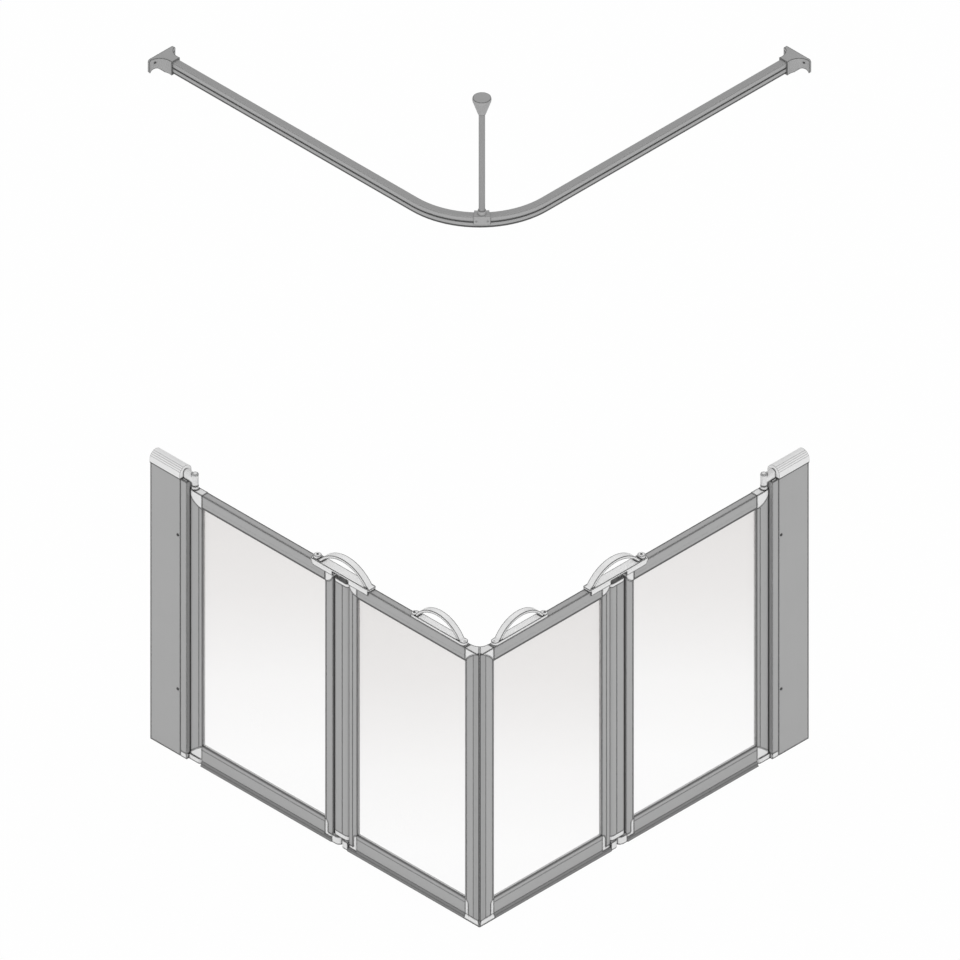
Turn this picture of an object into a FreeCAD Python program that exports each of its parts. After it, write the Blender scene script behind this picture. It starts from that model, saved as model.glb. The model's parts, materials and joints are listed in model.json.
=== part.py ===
import FreeCAD, Part
import math
import os

# Corner-entry half height shower screen with a bi-fold door on each side and a curtain rail above.
# One side is modelled in its own coordinates: u runs from the wall along the screen, v runs from the
# post's outer face into the enclosure, z is up from the floor. The other side is its mirror image.

# Plan
SIDE = 1192.0                 # wall plane to the outer face of the other side's post
MITRE_GAP = 0.15              # each corner seal stands this far from the mirror plane

# Wall post
POST_HEIGHT = 867.0
POST_DEPTH = 38.0
PANEL_WIDTH = 108.6           # flat part of the post, under the cap
JAMB_WIDTH = 23.0             # narrow band that carries the hinge
POST_WALL = 2.5
POST_LINE = 1.2               # depth of the line between panel and jamb
JAMB_FOOT = 17.0              # moulded foot under the jamb
CAP_LIP = 2.5
CAP_SKIRT = 11.5
CAP_PLUG = 15.0
CAP_RIDGE = 0.4               # depth of the lengthwise ridges on the cap
CHANNEL_SHORT = 1.0           # channel legs end this far from the post's web
CHANNEL_WALL = 2.5
CHANNEL_PLAY = 0.5            # slide clearance between channel and post
WALL_HOLE_RADIUS = 2.75
WALL_HOLE_LOW = 150.0
WALL_HOLE_SPACING = 600.0
POST_SCREW_INSET = 9.0        # from the panel's edge
POST_SCREW_LOW = 205.0
POST_SCREW_SPACING = 483.0
SCREW_RADIUS = 2.0
SCREW_HEAD_RADIUS = 4.0
SCREW_HEAD_HEIGHT = 1.6
SCREW_LENGTH = 9.0
SCREW_PLAY = 0.1

# Leaves
LEAF_DROP = 21.0              # leaf top below the post's top
LEAF_BOTTOM = 1.0
LEAF_THICKNESS = 22.0
EDGE_ROUND = 1.5
TOP_RAIL = 42.0
BOTTOM_RAIL = 46.0
RAIL_BASE = 14.0              # underside of the bottom rail and of the stiles
HINGE_STILE = 35.6            # pivot axis to inner edge
FOLD_STILE = 28.8
CORNER_STILE = 30.0
OUTER_LEAF = 522.7            # wall pivot to first fold pivot
PROFILE_WALL = 3.0
GLAZING_LIP = 7.0             # frame in front of the glazing groove
REAR_LIP = 2.0                # frame behind it
GLAZING_SKIN = 1.0            # gasket in front of the pane
GROOVE_DEPTH = 14.0
REAR_REBATE = 11.0            # opening behind the pane, wider than in front
GLASS_THICKNESS = 6.0
GLASS_EDGE_GAP = 1.0
BEAD_LINE = 11.5              # shallow line beside the glazing, from the opening
FOLD_BEAD_LINE = 15.5         # the same on the inner leaf's fold stile
EDGE_LINE = 5.0               # fine line beside an edge
LINE_DEPTH = 0.6
CHAMBER_DEPTH = 10.0          # hollow of a stile, along the screen
TENON = 30.0
TENON_PLAY = 0.2

# Wall pivot
PIVOT_GAP = 1.0               # stile to jamb
KNUCKLE_RADIUS = 9.2
KNUCKLE_LIFT = 12.0           # knuckle above the leaf top
KNUCKLE_HEIGHT = 36.0
KNUCKLE_ROUND = 3.0
KNUCKLE_GAP = 0.5
ARM_HEIGHT = 24.0
SPIGOT_RADIUS = 4.0
SPIGOT_DEPTH = 30.0           # reach into the leaf
PIVOT_PLATE = 17.0
PLATE_REACH = 20.0            # plate past the pivot, under the stile
PIVOT_LIFT = 1.0              # leaf above the pivot plate
RUNNING_PLAY = 0.06           # radial clearance of every pivot

# Fold hinge
FOLD_SPACING = 31.3
FOLD_GAP = 2.3                # fold post to stile
FOLD_POST_LOW = 40.0
FOLD_POST_DROP = 26.0         # fold post below the leaf top
FOLD_CAP = 10.0
FOLD_LINE = 5.0               # shallow line off the fold post's middle
FOLD_BASE = 14.0
FOLD_PIN_RADIUS = 4.0
FOLD_PIN_GRIP = 40.0          # pin length inside the fold post
TOP_EAR_RADIUS = 6.5
TOP_EAR = 7.0                 # thickness of a top lug
BOTTOM_EAR_RADIUS = 15.2
EAR_GAP = 1.0

# Corner connectors
HINGE_ARC_HIGH = 4.0         # below the leaf top, at the far edge
HINGE_ARC_SAG = 11.0
FOLD_ARC_HIGH = 10.0
FOLD_ARC_SAG = 8.0
INNER_ARC_LIFT = 6.0          # inner leaf's fold connector above the rail's lower edge
CORNER_ARC_HIGH = 0.5
CORNER_ARC_SAG = -6.0
FOLD_FOOT_WIDTH = 12.0
FOOT_DROP = 16.0
HINGE_FOOT_RISE = 4.0         # outer end of the hinge foot above the pivot plate
FOLD_FOOT_LOW = 10.0          # foot of a fold stile, between the seal and the stile
FOLD_FOOT_HIGH = 20.0
TOE = 6.5                     # soft seal and feet spread this far in front of the leaf
CORNER_TIP = 5.0              # top connector ends this far from the free corner
CORNER_NOTCH = 2.5            # square line down the free corner
CORNER_FILLET = 29.0          # inside corner of the two top connectors

# Handles
FOLD_RISE = 53.0              # crown of the large handle above the leaf top
PULL_RISE = 54.5              # crown of the small handle above the leaf top
FOLD_BASE_OUTER = 79.0        # reach of the base over the outer leaf
FOLD_BASE_INNER = 74.5        # reach of the base over the inner leaf
FOLD_GRIP = 7.5
FOLD_GRIP_INSET = 15.0        # grip from the base's outer end
FOLD_BASE_CORNER = 4.0
FOLD_HANDLE_WIDTH = 28.0
FOLD_HANDLE_BASE = 7.0
FOLD_CROWN_RADIUS = 108.0
FOLD_GRIP_WIDTH = 20.0
FOLD_BOSS_RADIUS = 10.5       # screw boss at the outer end
FOLD_BOSS_HEIGHT = 9.0
FOLD_BOSS_INSET = 13.0
BOSS_ROUND = 2.0
FOLD_SKIRT = 11.5             # drop of the skirts below the leaf top
SKIRT_PLAY = 0.6
HANDLE_LIFT = 1.0             # base above the fold post and the inner leaf
PULL_LENGTH = 197.0
PULL_WIDTH = 22.0
PULL_BASE = 9.0
PULL_INSET = 103.3            # middle of the handle from the corner stile
PULL_CROWN_RADIUS = 95.0
PULL_GRIP = 7.0
PULL_GRIP_WIDTH = 18.0
PULL_TAIL = 13.0              # grip from each end of the base

# Curtain rail
RAIL_UNDERSIDE = 2093.5
RAIL_WIDTH = 22.0
RAIL_HEIGHT = 35.0
RAIL_INSET = 42.0             # rail centre line inside the post's outer face
RAIL_BEND = 234.0             # centre line radius of the corner
RAIL_SLOT = 3.5
RAIL_TRACK_WIDTH = 12.0
RAIL_TRACK_HEIGHT = 9.0
RAIL_LIP = 3.0
RAIL_GROOVE_LOW = 17.0
RAIL_GROOVE_WIDTH = 3.0
RAIL_GROOVE_DEPTH = 2.0
RAIL_ROUND = 3.0
BRACKET_WIDTH = 102.0
BRACKET_INSIDE = 42.0         # flange from the rail's middle towards the enclosure
BRACKET_HEIGHT = 42.0
BRACKET_FLANGE = 6.0
BRACKET_REACH = 50.0
SOCKET_WALL = 3.5
SOCKET_DEPTH = 24.0
SOCKET_PLAY = 0.3
BRACKET_ARCH = 17.0
BRACKET_ARCH_DROP = 6.0       # arch centre below the flange
BRACKET_ROUND = 7.0
BRACKET_HOLE_RADIUS = 2.5
BRACKET_HOLE_SPACING = 68.0
CEILING = 2495.0
ROD_RADIUS = 8.3
CUP_RADIUS = 23.5
CUP_HEIGHT = 50.0
CUP_ROUND = 6.0
COLLAR_RADIUS = 10.5
COLLAR_HEIGHT = 14.0
SADDLE_WALL = 2.5
SADDLE_DROP = 24.0
SADDLE_ANGLE = 10.0
SADDLE_PLAY = 0.3
ROD_ANGLE = 46.5              # place of the rod round the bend

# Places worked out from the sizes above.
OUTREACH = BRACKET_WIDTH / 2 - RAIL_INSET
HALF = (SIDE + OUTREACH) / 2
WALL_X = -HALF
FACE_Y = HALF - SIDE
POST_WIDTH = PANEL_WIDTH + JAMB_WIDTH
CHANNEL_REACH = PANEL_WIDTH - POST_WALL - CHANNEL_SHORT
LEAF_TOP = POST_HEIGHT - LEAF_DROP
KNUCKLE_LOW = LEAF_TOP + KNUCKLE_LIFT
FOLD_POST_HIGH = LEAF_TOP - FOLD_POST_DROP
MID = POST_DEPTH / 2
NOSE = LEAF_THICKNESS / 2
LEAF_FRONT = MID - NOSE
LEAF_REAR = MID + NOSE
PIVOT = POST_WIDTH + PIVOT_GAP + NOSE
FOLD_A = PIVOT + OUTER_LEAF
FOLD_B = FOLD_A + FOLD_SPACING
STILE_CLEAR = NOSE + FOLD_GAP
OUTER_FOLD_EDGE = FOLD_A - STILE_CLEAR
INNER_FOLD_EDGE = FOLD_B + STILE_CLEAR
MITRE = SIDE - MITRE_GAP * math.sqrt(2)
CORNER_EDGE = MITRE - LEAF_REAR
OUTER_BAY = (PIVOT + HINGE_STILE, OUTER_FOLD_EDGE - FOLD_STILE)
INNER_BAY = (INNER_FOLD_EDGE + FOLD_STILE, CORNER_EDGE - CORNER_STILE)
GLASS_LOW = RAIL_BASE + BOTTOM_RAIL
GLASS_HIGH = LEAF_TOP - TOP_RAIL
CAP_RADIUS = MID + CAP_LIP
KNUCKLE_TOP = KNUCKLE_LOW + KNUCKLE_HEIGHT
THROUGH = POST_DEPTH * 3
MARGIN = 1.0

Vec = FreeCAD.Vector
UP = Vec(0, 0, 1)
ALONG = Vec(1, 0, 0)
INWARD = Vec(0, 1, 0)


def plan(u, v):
    """Point on the floor."""
    return Vec(u, v, 0)


def side(u, z):
    """Point on the post's outer face."""
    return Vec(u, 0, z)


def end(v, z):
    """Point on the wall plane."""
    return Vec(0, v, z)


def outline(start, *legs):
    """Closed face; a leg is an end point, or a (middle, end) pair for an arc."""
    edges = []
    here = start
    for leg in legs + (start,):
        if isinstance(leg, tuple):
            edges.append(Part.Arc(here, leg[0], leg[1]).toShape())
            here = leg[1]
        elif here.distanceToPoint(leg) > 1e-6:
            edges.append(Part.LineSegment(here, leg).toShape())
            here = leg
    return Part.Face(Part.Wire(edges))


def rounded(place, a0, a1, b0, b1, r):
    """Rectangle with four round corners, drawn with one of the point functions."""
    k = r * (1 - math.sqrt(0.5))
    return outline(
        place(a0 + r, b0),
        place(a1 - r, b0), (place(a1 - k, b0 + k), place(a1, b0 + r)),
        place(a1, b1 - r), (place(a1 - k, b1 - k), place(a1 - r, b1)),
        place(a0 + r, b1), (place(a0 + k, b1 - k), place(a0, b1 - r)),
        place(a0, b0 + r), (place(a0 + k, b0 + k), place(a0 + r, b0)))


def block(u0, u1, v0, v1, z0, z1):
    """Plain box between two corners."""
    return Part.makeBox(u1 - u0, v1 - v0, z1 - z0, Vec(u0, v0, z0))


def post_of(face, z0, z1):
    """Plan face stood up between two heights."""
    solid = face.extrude(UP * (z1 - z0))
    solid.translate(UP * z0)
    return solid


def rod(u, v, radius, z0, z1):
    """Upright cylinder."""
    return Part.makeCylinder(radius, z1 - z0, Vec(u, v, z0), UP)


def through(face):
    """Side face pushed through the whole depth of the screen."""
    solid = face.extrude(INWARD * THROUGH)
    solid.translate(INWARD * (MID - THROUGH / 2))
    return solid


def stadium(u0, u1, radius):
    """Plan face with two round ends."""
    return outline(
        plan(u0, MID - radius),
        plan(u1, MID - radius), (plan(u1 + radius, MID), plan(u1, MID + radius)),
        plan(u0, MID + radius), (plan(u0 - radius, MID), plan(u0, MID - radius)))


# Wall post


def wall_post():
    """Extruded post, open to the wall, with a closed hinge jamb and a line between the two."""
    body = post_of(rounded(plan, -EDGE_ROUND, POST_WIDTH, 0, POST_DEPTH, EDGE_ROUND), 0, POST_HEIGHT)
    web = PANEL_WIDTH - POST_WALL
    inner = (POST_WALL, POST_DEPTH - POST_WALL)
    cuts = [
        block(-THROUGH, 0, -MARGIN, POST_DEPTH + MARGIN, -MARGIN, POST_HEIGHT + MARGIN),
        block(-MARGIN, web, inner[0], inner[1], -MARGIN, POST_HEIGHT + MARGIN),
        block(PANEL_WIDTH, POST_WIDTH - POST_WALL, inner[0], inner[1], -MARGIN, POST_HEIGHT + MARGIN),
        block(PANEL_WIDTH, POST_WIDTH + MARGIN, -MARGIN, POST_DEPTH + MARGIN, -MARGIN, JAMB_FOOT)]
    for v, turn in ((0, 1), (POST_DEPTH, -1)):
        groove = outline(plan(PANEL_WIDTH - POST_LINE, v), plan(PANEL_WIDTH, v + turn * POST_LINE),
                         plan(PANEL_WIDTH + POST_LINE, v), plan(PANEL_WIDTH, v - turn * POST_LINE))
        cuts.append(post_of(groove, -MARGIN, POST_HEIGHT + MARGIN))
    cuts += [upright_line(EDGE_LINE / 2, 0), level_line(0, EDGE_LINE / 2, -MARGIN, PANEL_WIDTH)]
    return body.cut(cuts + post_screw_holes())


def post_screw_places():
    """Heights of the two screws on the flat panel."""
    return [POST_SCREW_LOW, POST_SCREW_LOW + POST_SCREW_SPACING]


def post_screw_holes():
    """Holes for the post screws, through post and channel."""
    u = PANEL_WIDTH - POST_SCREW_INSET
    radius = SCREW_RADIUS + SCREW_PLAY
    return [Part.makeCylinder(radius, SCREW_LENGTH + MARGIN, Vec(u, -MARGIN, z), INWARD)
            for z in post_screw_places()]


def post_screws():
    """Round-headed screws that hold the post on the channel."""
    u = PANEL_WIDTH - POST_SCREW_INSET
    screws = []
    for z in post_screw_places():
        shank = Part.makeCylinder(SCREW_RADIUS, SCREW_LENGTH, Vec(u, 0, z), INWARD)
        head = Part.makeCylinder(SCREW_HEAD_RADIUS, SCREW_HEAD_HEIGHT, Vec(u, -SCREW_HEAD_HEIGHT, z), INWARD)
        rim = [e for e in head.Edges if abs(e.CenterOfMass.y + SCREW_HEAD_HEIGHT) < 1e-6]
        screws.append(shank.fuse(head.makeFillet(SCREW_HEAD_HEIGHT * 0.6, rim)).removeSplitter())
    return Part.makeCompound(screws)


def wall_channel():
    """Deep channel on the wall that the post slides over."""
    v0 = POST_WALL + CHANNEL_PLAY
    v1 = POST_DEPTH - v0
    body = block(0, CHANNEL_REACH, v0, v1, 0, POST_HEIGHT - MARGIN)
    hollow = block(CHANNEL_WALL, CHANNEL_REACH + MARGIN, v0 + CHANNEL_WALL, v1 - CHANNEL_WALL,
                   -MARGIN, POST_HEIGHT)
    holes = [Part.makeCylinder(WALL_HOLE_RADIUS, CHANNEL_WALL + 2 * MARGIN, Vec(-MARGIN, MID, z), ALONG)
             for z in (WALL_HOLE_LOW, WALL_HOLE_LOW + WALL_HOLE_SPACING)]
    return body.cut([hollow] + holes + post_screw_holes())


def post_cap():
    """Half-round moulding on the post, with lengthwise ridges and a plug between the channel's legs."""
    base = POST_HEIGHT + CAP_SKIRT
    section = outline(
        end(-CAP_LIP, POST_HEIGHT),
        end(-CAP_LIP, base), (end(MID, base + CAP_RADIUS), end(POST_DEPTH + CAP_LIP, base)),
        end(POST_DEPTH + CAP_LIP, POST_HEIGHT))
    cap = section.extrude(ALONG * PANEL_WIDTH)
    for angle in (110, 125, 140, 155):
        turn = math.radians(angle)
        v = MID + CAP_RADIUS * math.cos(turn)
        z = base + CAP_RADIUS * math.sin(turn)
        cap = cap.cut(Part.makeCylinder(CAP_RIDGE, PANEL_WIDTH + 2 * MARGIN, Vec(-MARGIN, v, z), ALONG))
    inset = POST_WALL + CHANNEL_PLAY + CHANNEL_WALL + CHANNEL_PLAY
    plug = block(CHANNEL_WALL + CHANNEL_PLAY, PANEL_WIDTH - POST_WALL - CHANNEL_PLAY, inset,
                 POST_DEPTH - inset, POST_HEIGHT - CAP_PLUG, POST_HEIGHT + CAP_SKIRT)
    return cap.fuse(plug).removeSplitter()


def pivot_brackets():
    """Top arm with its knuckle and bottom foot with its plate, each with a moulded pivot spigot."""
    jamb_plug = (PANEL_WIDTH + TENON_PLAY, POST_WIDTH - POST_WALL - TENON_PLAY,
                 POST_WALL + TENON_PLAY, POST_DEPTH - POST_WALL - TENON_PLAY)
    arm_top = POST_HEIGHT + ARM_HEIGHT
    arm = outline(
        end(MID - KNUCKLE_RADIUS, POST_HEIGHT),
        end(MID - KNUCKLE_RADIUS, arm_top - KNUCKLE_RADIUS),
        (end(MID, arm_top), end(MID + KNUCKLE_RADIUS, arm_top - KNUCKLE_RADIUS)),
        end(MID + KNUCKLE_RADIUS, POST_HEIGHT))
    arm = arm.extrude(ALONG * (PIVOT - PANEL_WIDTH))
    arm.translate(ALONG * PANEL_WIDTH)
    knuckle = rod(PIVOT, MID, KNUCKLE_RADIUS, KNUCKLE_LOW, KNUCKLE_TOP)
    rim = [e for e in knuckle.Edges if abs(e.CenterOfMass.z - KNUCKLE_TOP) < 1e-6]
    knuckle = knuckle.makeFillet(KNUCKLE_ROUND, rim)
    spigot = rod(PIVOT, MID, SPIGOT_RADIUS, LEAF_TOP - SPIGOT_DEPTH, KNUCKLE_LOW)
    plug = block(*jamb_plug, POST_HEIGHT - CAP_PLUG, POST_HEIGHT)
    top = arm.fuse([knuckle, spigot, plug]).removeSplitter()
    foot = post_of(rounded(plan, PANEL_WIDTH, POST_WIDTH, 0, POST_DEPTH, EDGE_ROUND), 0, JAMB_FOOT)
    plate = post_of(stadium(PANEL_WIDTH + NOSE, PIVOT + PLATE_REACH, NOSE), 0, PIVOT_PLATE)
    low_spigot = rod(PIVOT, MID, SPIGOT_RADIUS, PIVOT_PLATE, PIVOT_PLATE + SPIGOT_DEPTH)
    low_plug = block(*jamb_plug, JAMB_FOOT, JAMB_FOOT + CAP_PLUG)
    bottom = foot.fuse([plate, low_spigot, low_plug]).removeSplitter()
    return Part.makeCompound([top, bottom])


# Leaf members


def bay_box(bay, reach, v0, v1):
    """Box over a glass bay, larger than its opening by a reach on every side."""
    return block(bay[0] - reach, bay[1] + reach, v0, v1, GLASS_LOW - reach, GLASS_HIGH + reach)


def slot_of(bay):
    """Slot that takes a bay's pane and gasket."""
    return bay_box(bay, GROOVE_DEPTH, LEAF_FRONT + GLAZING_LIP, LEAF_REAR - REAR_LIP)


def rebate_of(bay):
    """Opening behind a pane, wider than the one in front."""
    behind = LEAF_FRONT + GLAZING_LIP + GLAZING_SKIN + GLASS_THICKNESS
    return bay_box(bay, REAR_REBATE, behind, LEAF_REAR + MARGIN)


def groove_of(bay):
    """Glazing groove of a bay with its rebate, cut from every member round it."""
    return slot_of(bay).fuse(rebate_of(bay))


def glass_of(bay):
    """Pane in the front of the groove."""
    front = LEAF_FRONT + GLAZING_LIP + GLAZING_SKIN
    return bay_box(bay, GROOVE_DEPTH - GLASS_EDGE_GAP, front, front + GLASS_THICKNESS)


def gasket_of(bay):
    """Gasket between the pane and its groove, thin in front and a broad bead behind."""
    opening = bay_box(bay, 0, -MARGIN, POST_DEPTH + MARGIN)
    return slot_of(bay).cut([opening, rebate_of(bay), glass_of(bay)])


def upright_line(u, v):
    """V-shaped cutter for a shallow upright line on a face."""
    return post_of(outline(plan(u - LINE_DEPTH, v), plan(u, v + LINE_DEPTH), plan(u + LINE_DEPTH, v),
                           plan(u, v - LINE_DEPTH)), 0, POST_HEIGHT)


def level_line(v, z, u0, u1):
    """V-shaped cutter for a shallow level line on a face."""
    cutter = outline(end(v, z - LINE_DEPTH), end(v + LINE_DEPTH, z), end(v, z + LINE_DEPTH),
                     end(v - LINE_DEPTH, z))
    cutter = cutter.extrude(ALONG * (u1 - u0))
    cutter.translate(ALONG * u0)
    return cutter


def rail_chamber(z0, z1, u0, u1, play=0.0):
    """Hollow of a rail, or with a play the tenon that fills its end."""
    wall = PROFILE_WALL + play
    return block(u0, u1, LEAF_FRONT + wall, LEAF_REAR - wall, z0 + play, z1 - play)


TOP_CHAMBER = (GLASS_HIGH + GROOVE_DEPTH + PROFILE_WALL, LEAF_TOP - PROFILE_WALL)
BOTTOM_CHAMBER = (RAIL_BASE + PROFILE_WALL, GLASS_LOW - GROOVE_DEPTH - PROFILE_WALL)


def rail_of(bay, z0, z1, chamber):
    """Rail between two stiles."""
    section = rounded(end, LEAF_FRONT, LEAF_REAR, z0, z1, EDGE_ROUND)
    rail = section.extrude(ALONG * (bay[1] - bay[0]))
    rail.translate(ALONG * bay[0])
    hollow = rail_chamber(chamber[0], chamber[1], bay[0] - MARGIN, bay[1] + MARGIN)
    places = [(LEAF_FRONT, GLASS_LOW - BEAD_LINE), (LEAF_FRONT, GLASS_HIGH + EDGE_LINE / 2),
              (LEAF_REAR - EDGE_LINE / 2, LEAF_TOP)]
    lines = [level_line(v, z, bay[0] - MARGIN, bay[1] + MARGIN) for v, z in places if z0 < z <= z1]
    return rail.cut([groove_of(bay), hollow] + lines)


def toe_of(u0, u1):
    """Wedge in front of the leaf's foot, from the rail's underside out to the floor."""
    wedge = outline(end(LEAF_FRONT, RAIL_BASE), end(LEAF_FRONT - TOE, LEAF_BOTTOM + LINE_DEPTH),
                    end(LEAF_FRONT - TOE, LEAF_BOTTOM), end(LEAF_FRONT, LEAF_BOTTOM))
    wedge = wedge.extrude(ALONG * (u1 - u0))
    wedge.translate(ALONG * u0)
    return wedge


def seal_of(bay, edge):
    """Soft strip under the bottom rail and, lower, under the fold stile; it spreads forward to the floor."""
    strip = block(bay[0], bay[1], LEAF_FRONT, LEAF_REAR - EDGE_ROUND, LEAF_BOTTOM, RAIL_BASE)
    start, finish = min(bay[0], edge), max(bay[1], edge)
    under = block(start, finish, LEAF_FRONT, LEAF_REAR - EDGE_ROUND, LEAF_BOTTOM, FOLD_FOOT_LOW)
    low = block(start, finish, LEAF_FRONT - TOE, LEAF_FRONT, LEAF_BOTTOM, FOLD_FOOT_LOW)
    strip = strip.fuse([under, toe_of(bay[0], bay[1]), toe_of(start, finish).common(low)]).removeSplitter()
    middle = end(LEAF_FRONT - TOE / 2, (RAIL_BASE + LEAF_BOTTOM) / 2) + ALONG * (start - MARGIN)
    return strip.cut(Part.makeCylinder(LINE_DEPTH, finish - start + 2 * MARGIN, middle, ALONG))


def hinge_profile():
    """Plan of the hinge stile, round about the pivot."""
    inner = OUTER_BAY[0]
    return outline(
        plan(PIVOT, LEAF_FRONT), plan(inner, LEAF_FRONT), plan(inner, LEAF_REAR),
        plan(PIVOT, LEAF_REAR), (plan(PIVOT - NOSE, MID), plan(PIVOT, LEAF_FRONT)))


def fold_profile(inner, edge):
    """Plan of a fold stile between its inner edge and the fold."""
    return rounded(plan, min(inner, edge), max(inner, edge), LEAF_FRONT, LEAF_REAR, EDGE_ROUND)


def corner_profile():
    """Plan of the corner stile."""
    return outline(plan(INNER_BAY[1], LEAF_FRONT), plan(CORNER_EDGE, LEAF_FRONT),
                   plan(CORNER_EDGE, LEAF_REAR), plan(INNER_BAY[1], LEAF_REAR))


def mitre_profile():
    """Plan of the corner seal, from the stile to the mitre, notched down the free corner."""
    notch = MITRE - LEAF_FRONT - CORNER_NOTCH
    return outline(
        plan(CORNER_EDGE, LEAF_FRONT), plan(notch, LEAF_FRONT),
        plan(notch, LEAF_FRONT + CORNER_NOTCH), plan(CORNER_EDGE, LEAF_REAR))


def corner_cap_profile():
    """Plan of the connector at the free corner, filleted on the inside where the two sides meet."""
    notch = MITRE - LEAF_FRONT - CORNER_NOTCH
    deep = LEAF_REAR + CORNER_FILLET
    whole = outline(
        plan(INNER_BAY[1], LEAF_FRONT), plan(notch, LEAF_FRONT),
        plan(notch, LEAF_FRONT + CORNER_NOTCH), plan(MITRE - deep, deep),
        plan(INNER_BAY[1] - THROUGH, deep), plan(INNER_BAY[1] - THROUGH, LEAF_REAR),
        plan(INNER_BAY[1], LEAF_REAR))
    centre = SIDE - deep
    beside = post_of(outline(plan(INNER_BAY[1] - 2 * THROUGH, LEAF_REAR), plan(centre, LEAF_REAR),
                             plan(centre, deep + MARGIN), plan(INNER_BAY[1] - 2 * THROUGH, deep + MARGIN)),
                     -MARGIN, MARGIN)
    return whole.cut([rod(centre, deep, CORNER_FILLET, -MARGIN, MARGIN), beside])


def top_region(inner, far, drop, sag, lift=0.0):
    """Corner taken by a top connector: under it an arc from the rail's end to the stile's far edge."""
    low = side(inner, GLASS_HIGH + lift)
    high = side(far, LEAF_TOP - drop)
    chord = high - low
    turn = math.copysign(1, far - inner)
    across = side(chord.z * turn, -abs(chord.x))
    across.normalize()
    roof = LEAF_TOP + MARGIN
    bend = ((low + high) * 0.5 + across * sag, high)
    return through(outline(low, bend, side(far, roof), side(inner, roof)))


def bottom_region(inner, far, width, drop, low, high, bulge=0.72):
    """Corner taken by a bottom connector: a strip beside the rail, rounded at the top, and a foot."""
    turn = math.copysign(1, far - inner)
    reach = inner + turn * width
    middle = side(inner + turn * width * bulge, GLASS_LOW - drop * (1 - bulge))
    return through(outline(
        side(inner, GLASS_LOW), (middle, side(reach, GLASS_LOW - drop)), side(reach, high),
        side(far, high), side(far, low), side(inner, low)))


def stile_chamber(inner, turn, play=0.0):
    """Hollow of a stile next to its groove, or with a play the tenon that fills its end."""
    near = inner + turn * (GROOVE_DEPTH + PROFILE_WALL)
    far = near + turn * CHAMBER_DEPTH
    return (min(near, far) + play, max(near, far) - play,
            LEAF_FRONT + PROFILE_WALL + play, LEAF_REAR - PROFILE_WALL - play)


def stile_of(profile, bay, inner, turn, regions, line):
    """Stile: its plan less groove, hollow, the connectors' corners and the line down its front."""
    hollow = block(*stile_chamber(inner, turn), RAIL_BASE - MARGIN, LEAF_TOP + MARGIN)
    lines = [upright_line(inner + turn * line, LEAF_FRONT)]
    return post_of(profile, RAIL_BASE, LEAF_TOP).cut([groove_of(bay), hollow] + lines + regions)


def connector_of(profile, bay, inner, turn, region, top):
    """Corner moulding with a tenon in the stile and one in the rail."""
    body = post_of(profile, LEAF_BOTTOM, LEAF_TOP).common(region)
    chamber = TOP_CHAMBER if top else BOTTOM_CHAMBER
    reach = sorted((inner + turn * PROFILE_WALL, inner - turn * TENON))
    rail_tenon = rail_chamber(chamber[0], chamber[1], reach[0], reach[1], TENON_PLAY)
    if top:
        heights = (GLASS_HIGH - TENON, LEAF_TOP - PROFILE_WALL)
    else:
        heights = (RAIL_BASE - PROFILE_WALL, GLASS_LOW + TENON)
    stile_tenon = block(*stile_chamber(inner, turn, TENON_PLAY), *heights)
    return body.fuse([rail_tenon, stile_tenon]).cut(groove_of(bay)).removeSplitter()


# Fold hinge


def ear_of(edge, pivot, radius, z0, z1):
    """Lug from a stile's edge round a fold pivot, with its running bore."""
    plate = post_of(stadium(min(edge, pivot), max(edge, pivot), radius), z0, z1)
    low = min(edge, pivot - radius - MARGIN) if pivot < edge else edge
    high = edge if pivot < edge else pivot + radius + MARGIN
    plate = plate.common(block(low, high, 0, POST_DEPTH, z0, z1))
    return plate.cut(rod(pivot, MID, FOLD_PIN_RADIUS + RUNNING_PLAY, z0 - MARGIN, z1 + MARGIN))


def fold_ears(edge, pivot):
    """Top and bottom lugs of one leaf."""
    top_low = LEAF_TOP - EAR_GAP - TOP_EAR
    bottom_high = FOLD_POST_LOW - FOLD_BASE - EAR_GAP
    return (ear_of(edge, pivot, TOP_EAR_RADIUS, top_low, LEAF_TOP - EAR_GAP),
            ear_of(edge, pivot, BOTTOM_EAR_RADIUS, LEAF_BOTTOM, bottom_high))


def fold_chamber(play, z0, z1):
    """Hollow between the two pivots of the fold post, or the plug that fills its end."""
    clear = FOLD_PIN_RADIUS + PROFILE_WALL
    return block(FOLD_A + clear + play, FOLD_B - clear - play,
                 LEAF_FRONT + PROFILE_WALL + play, LEAF_REAR - PROFILE_WALL - play, z0, z1)


def pin_bores(z0, z1):
    """Bores for the fold pins in the fold post and its end blocks."""
    return [rod(u, MID, FOLD_PIN_RADIUS + RUNNING_PLAY, z0, z1) for u in (FOLD_A, FOLD_B)]


def fold_post():
    """Double-nosed extrusion between the two leaves."""
    body = post_of(stadium(FOLD_A, FOLD_B, NOSE), FOLD_POST_LOW, FOLD_POST_HIGH)
    low = pin_bores(FOLD_POST_LOW - MARGIN, FOLD_POST_LOW + FOLD_PIN_GRIP)
    high = pin_bores(FOLD_POST_HIGH - FOLD_PIN_GRIP, FOLD_POST_HIGH + MARGIN)
    hollow = fold_chamber(0, FOLD_POST_LOW - MARGIN, FOLD_POST_HIGH + MARGIN)
    lines = [upright_line((FOLD_A + FOLD_B) / 2 + FOLD_LINE, v) for v in (LEAF_FRONT, LEAF_REAR)]
    return body.cut(low + high + [hollow] + lines)


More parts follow.
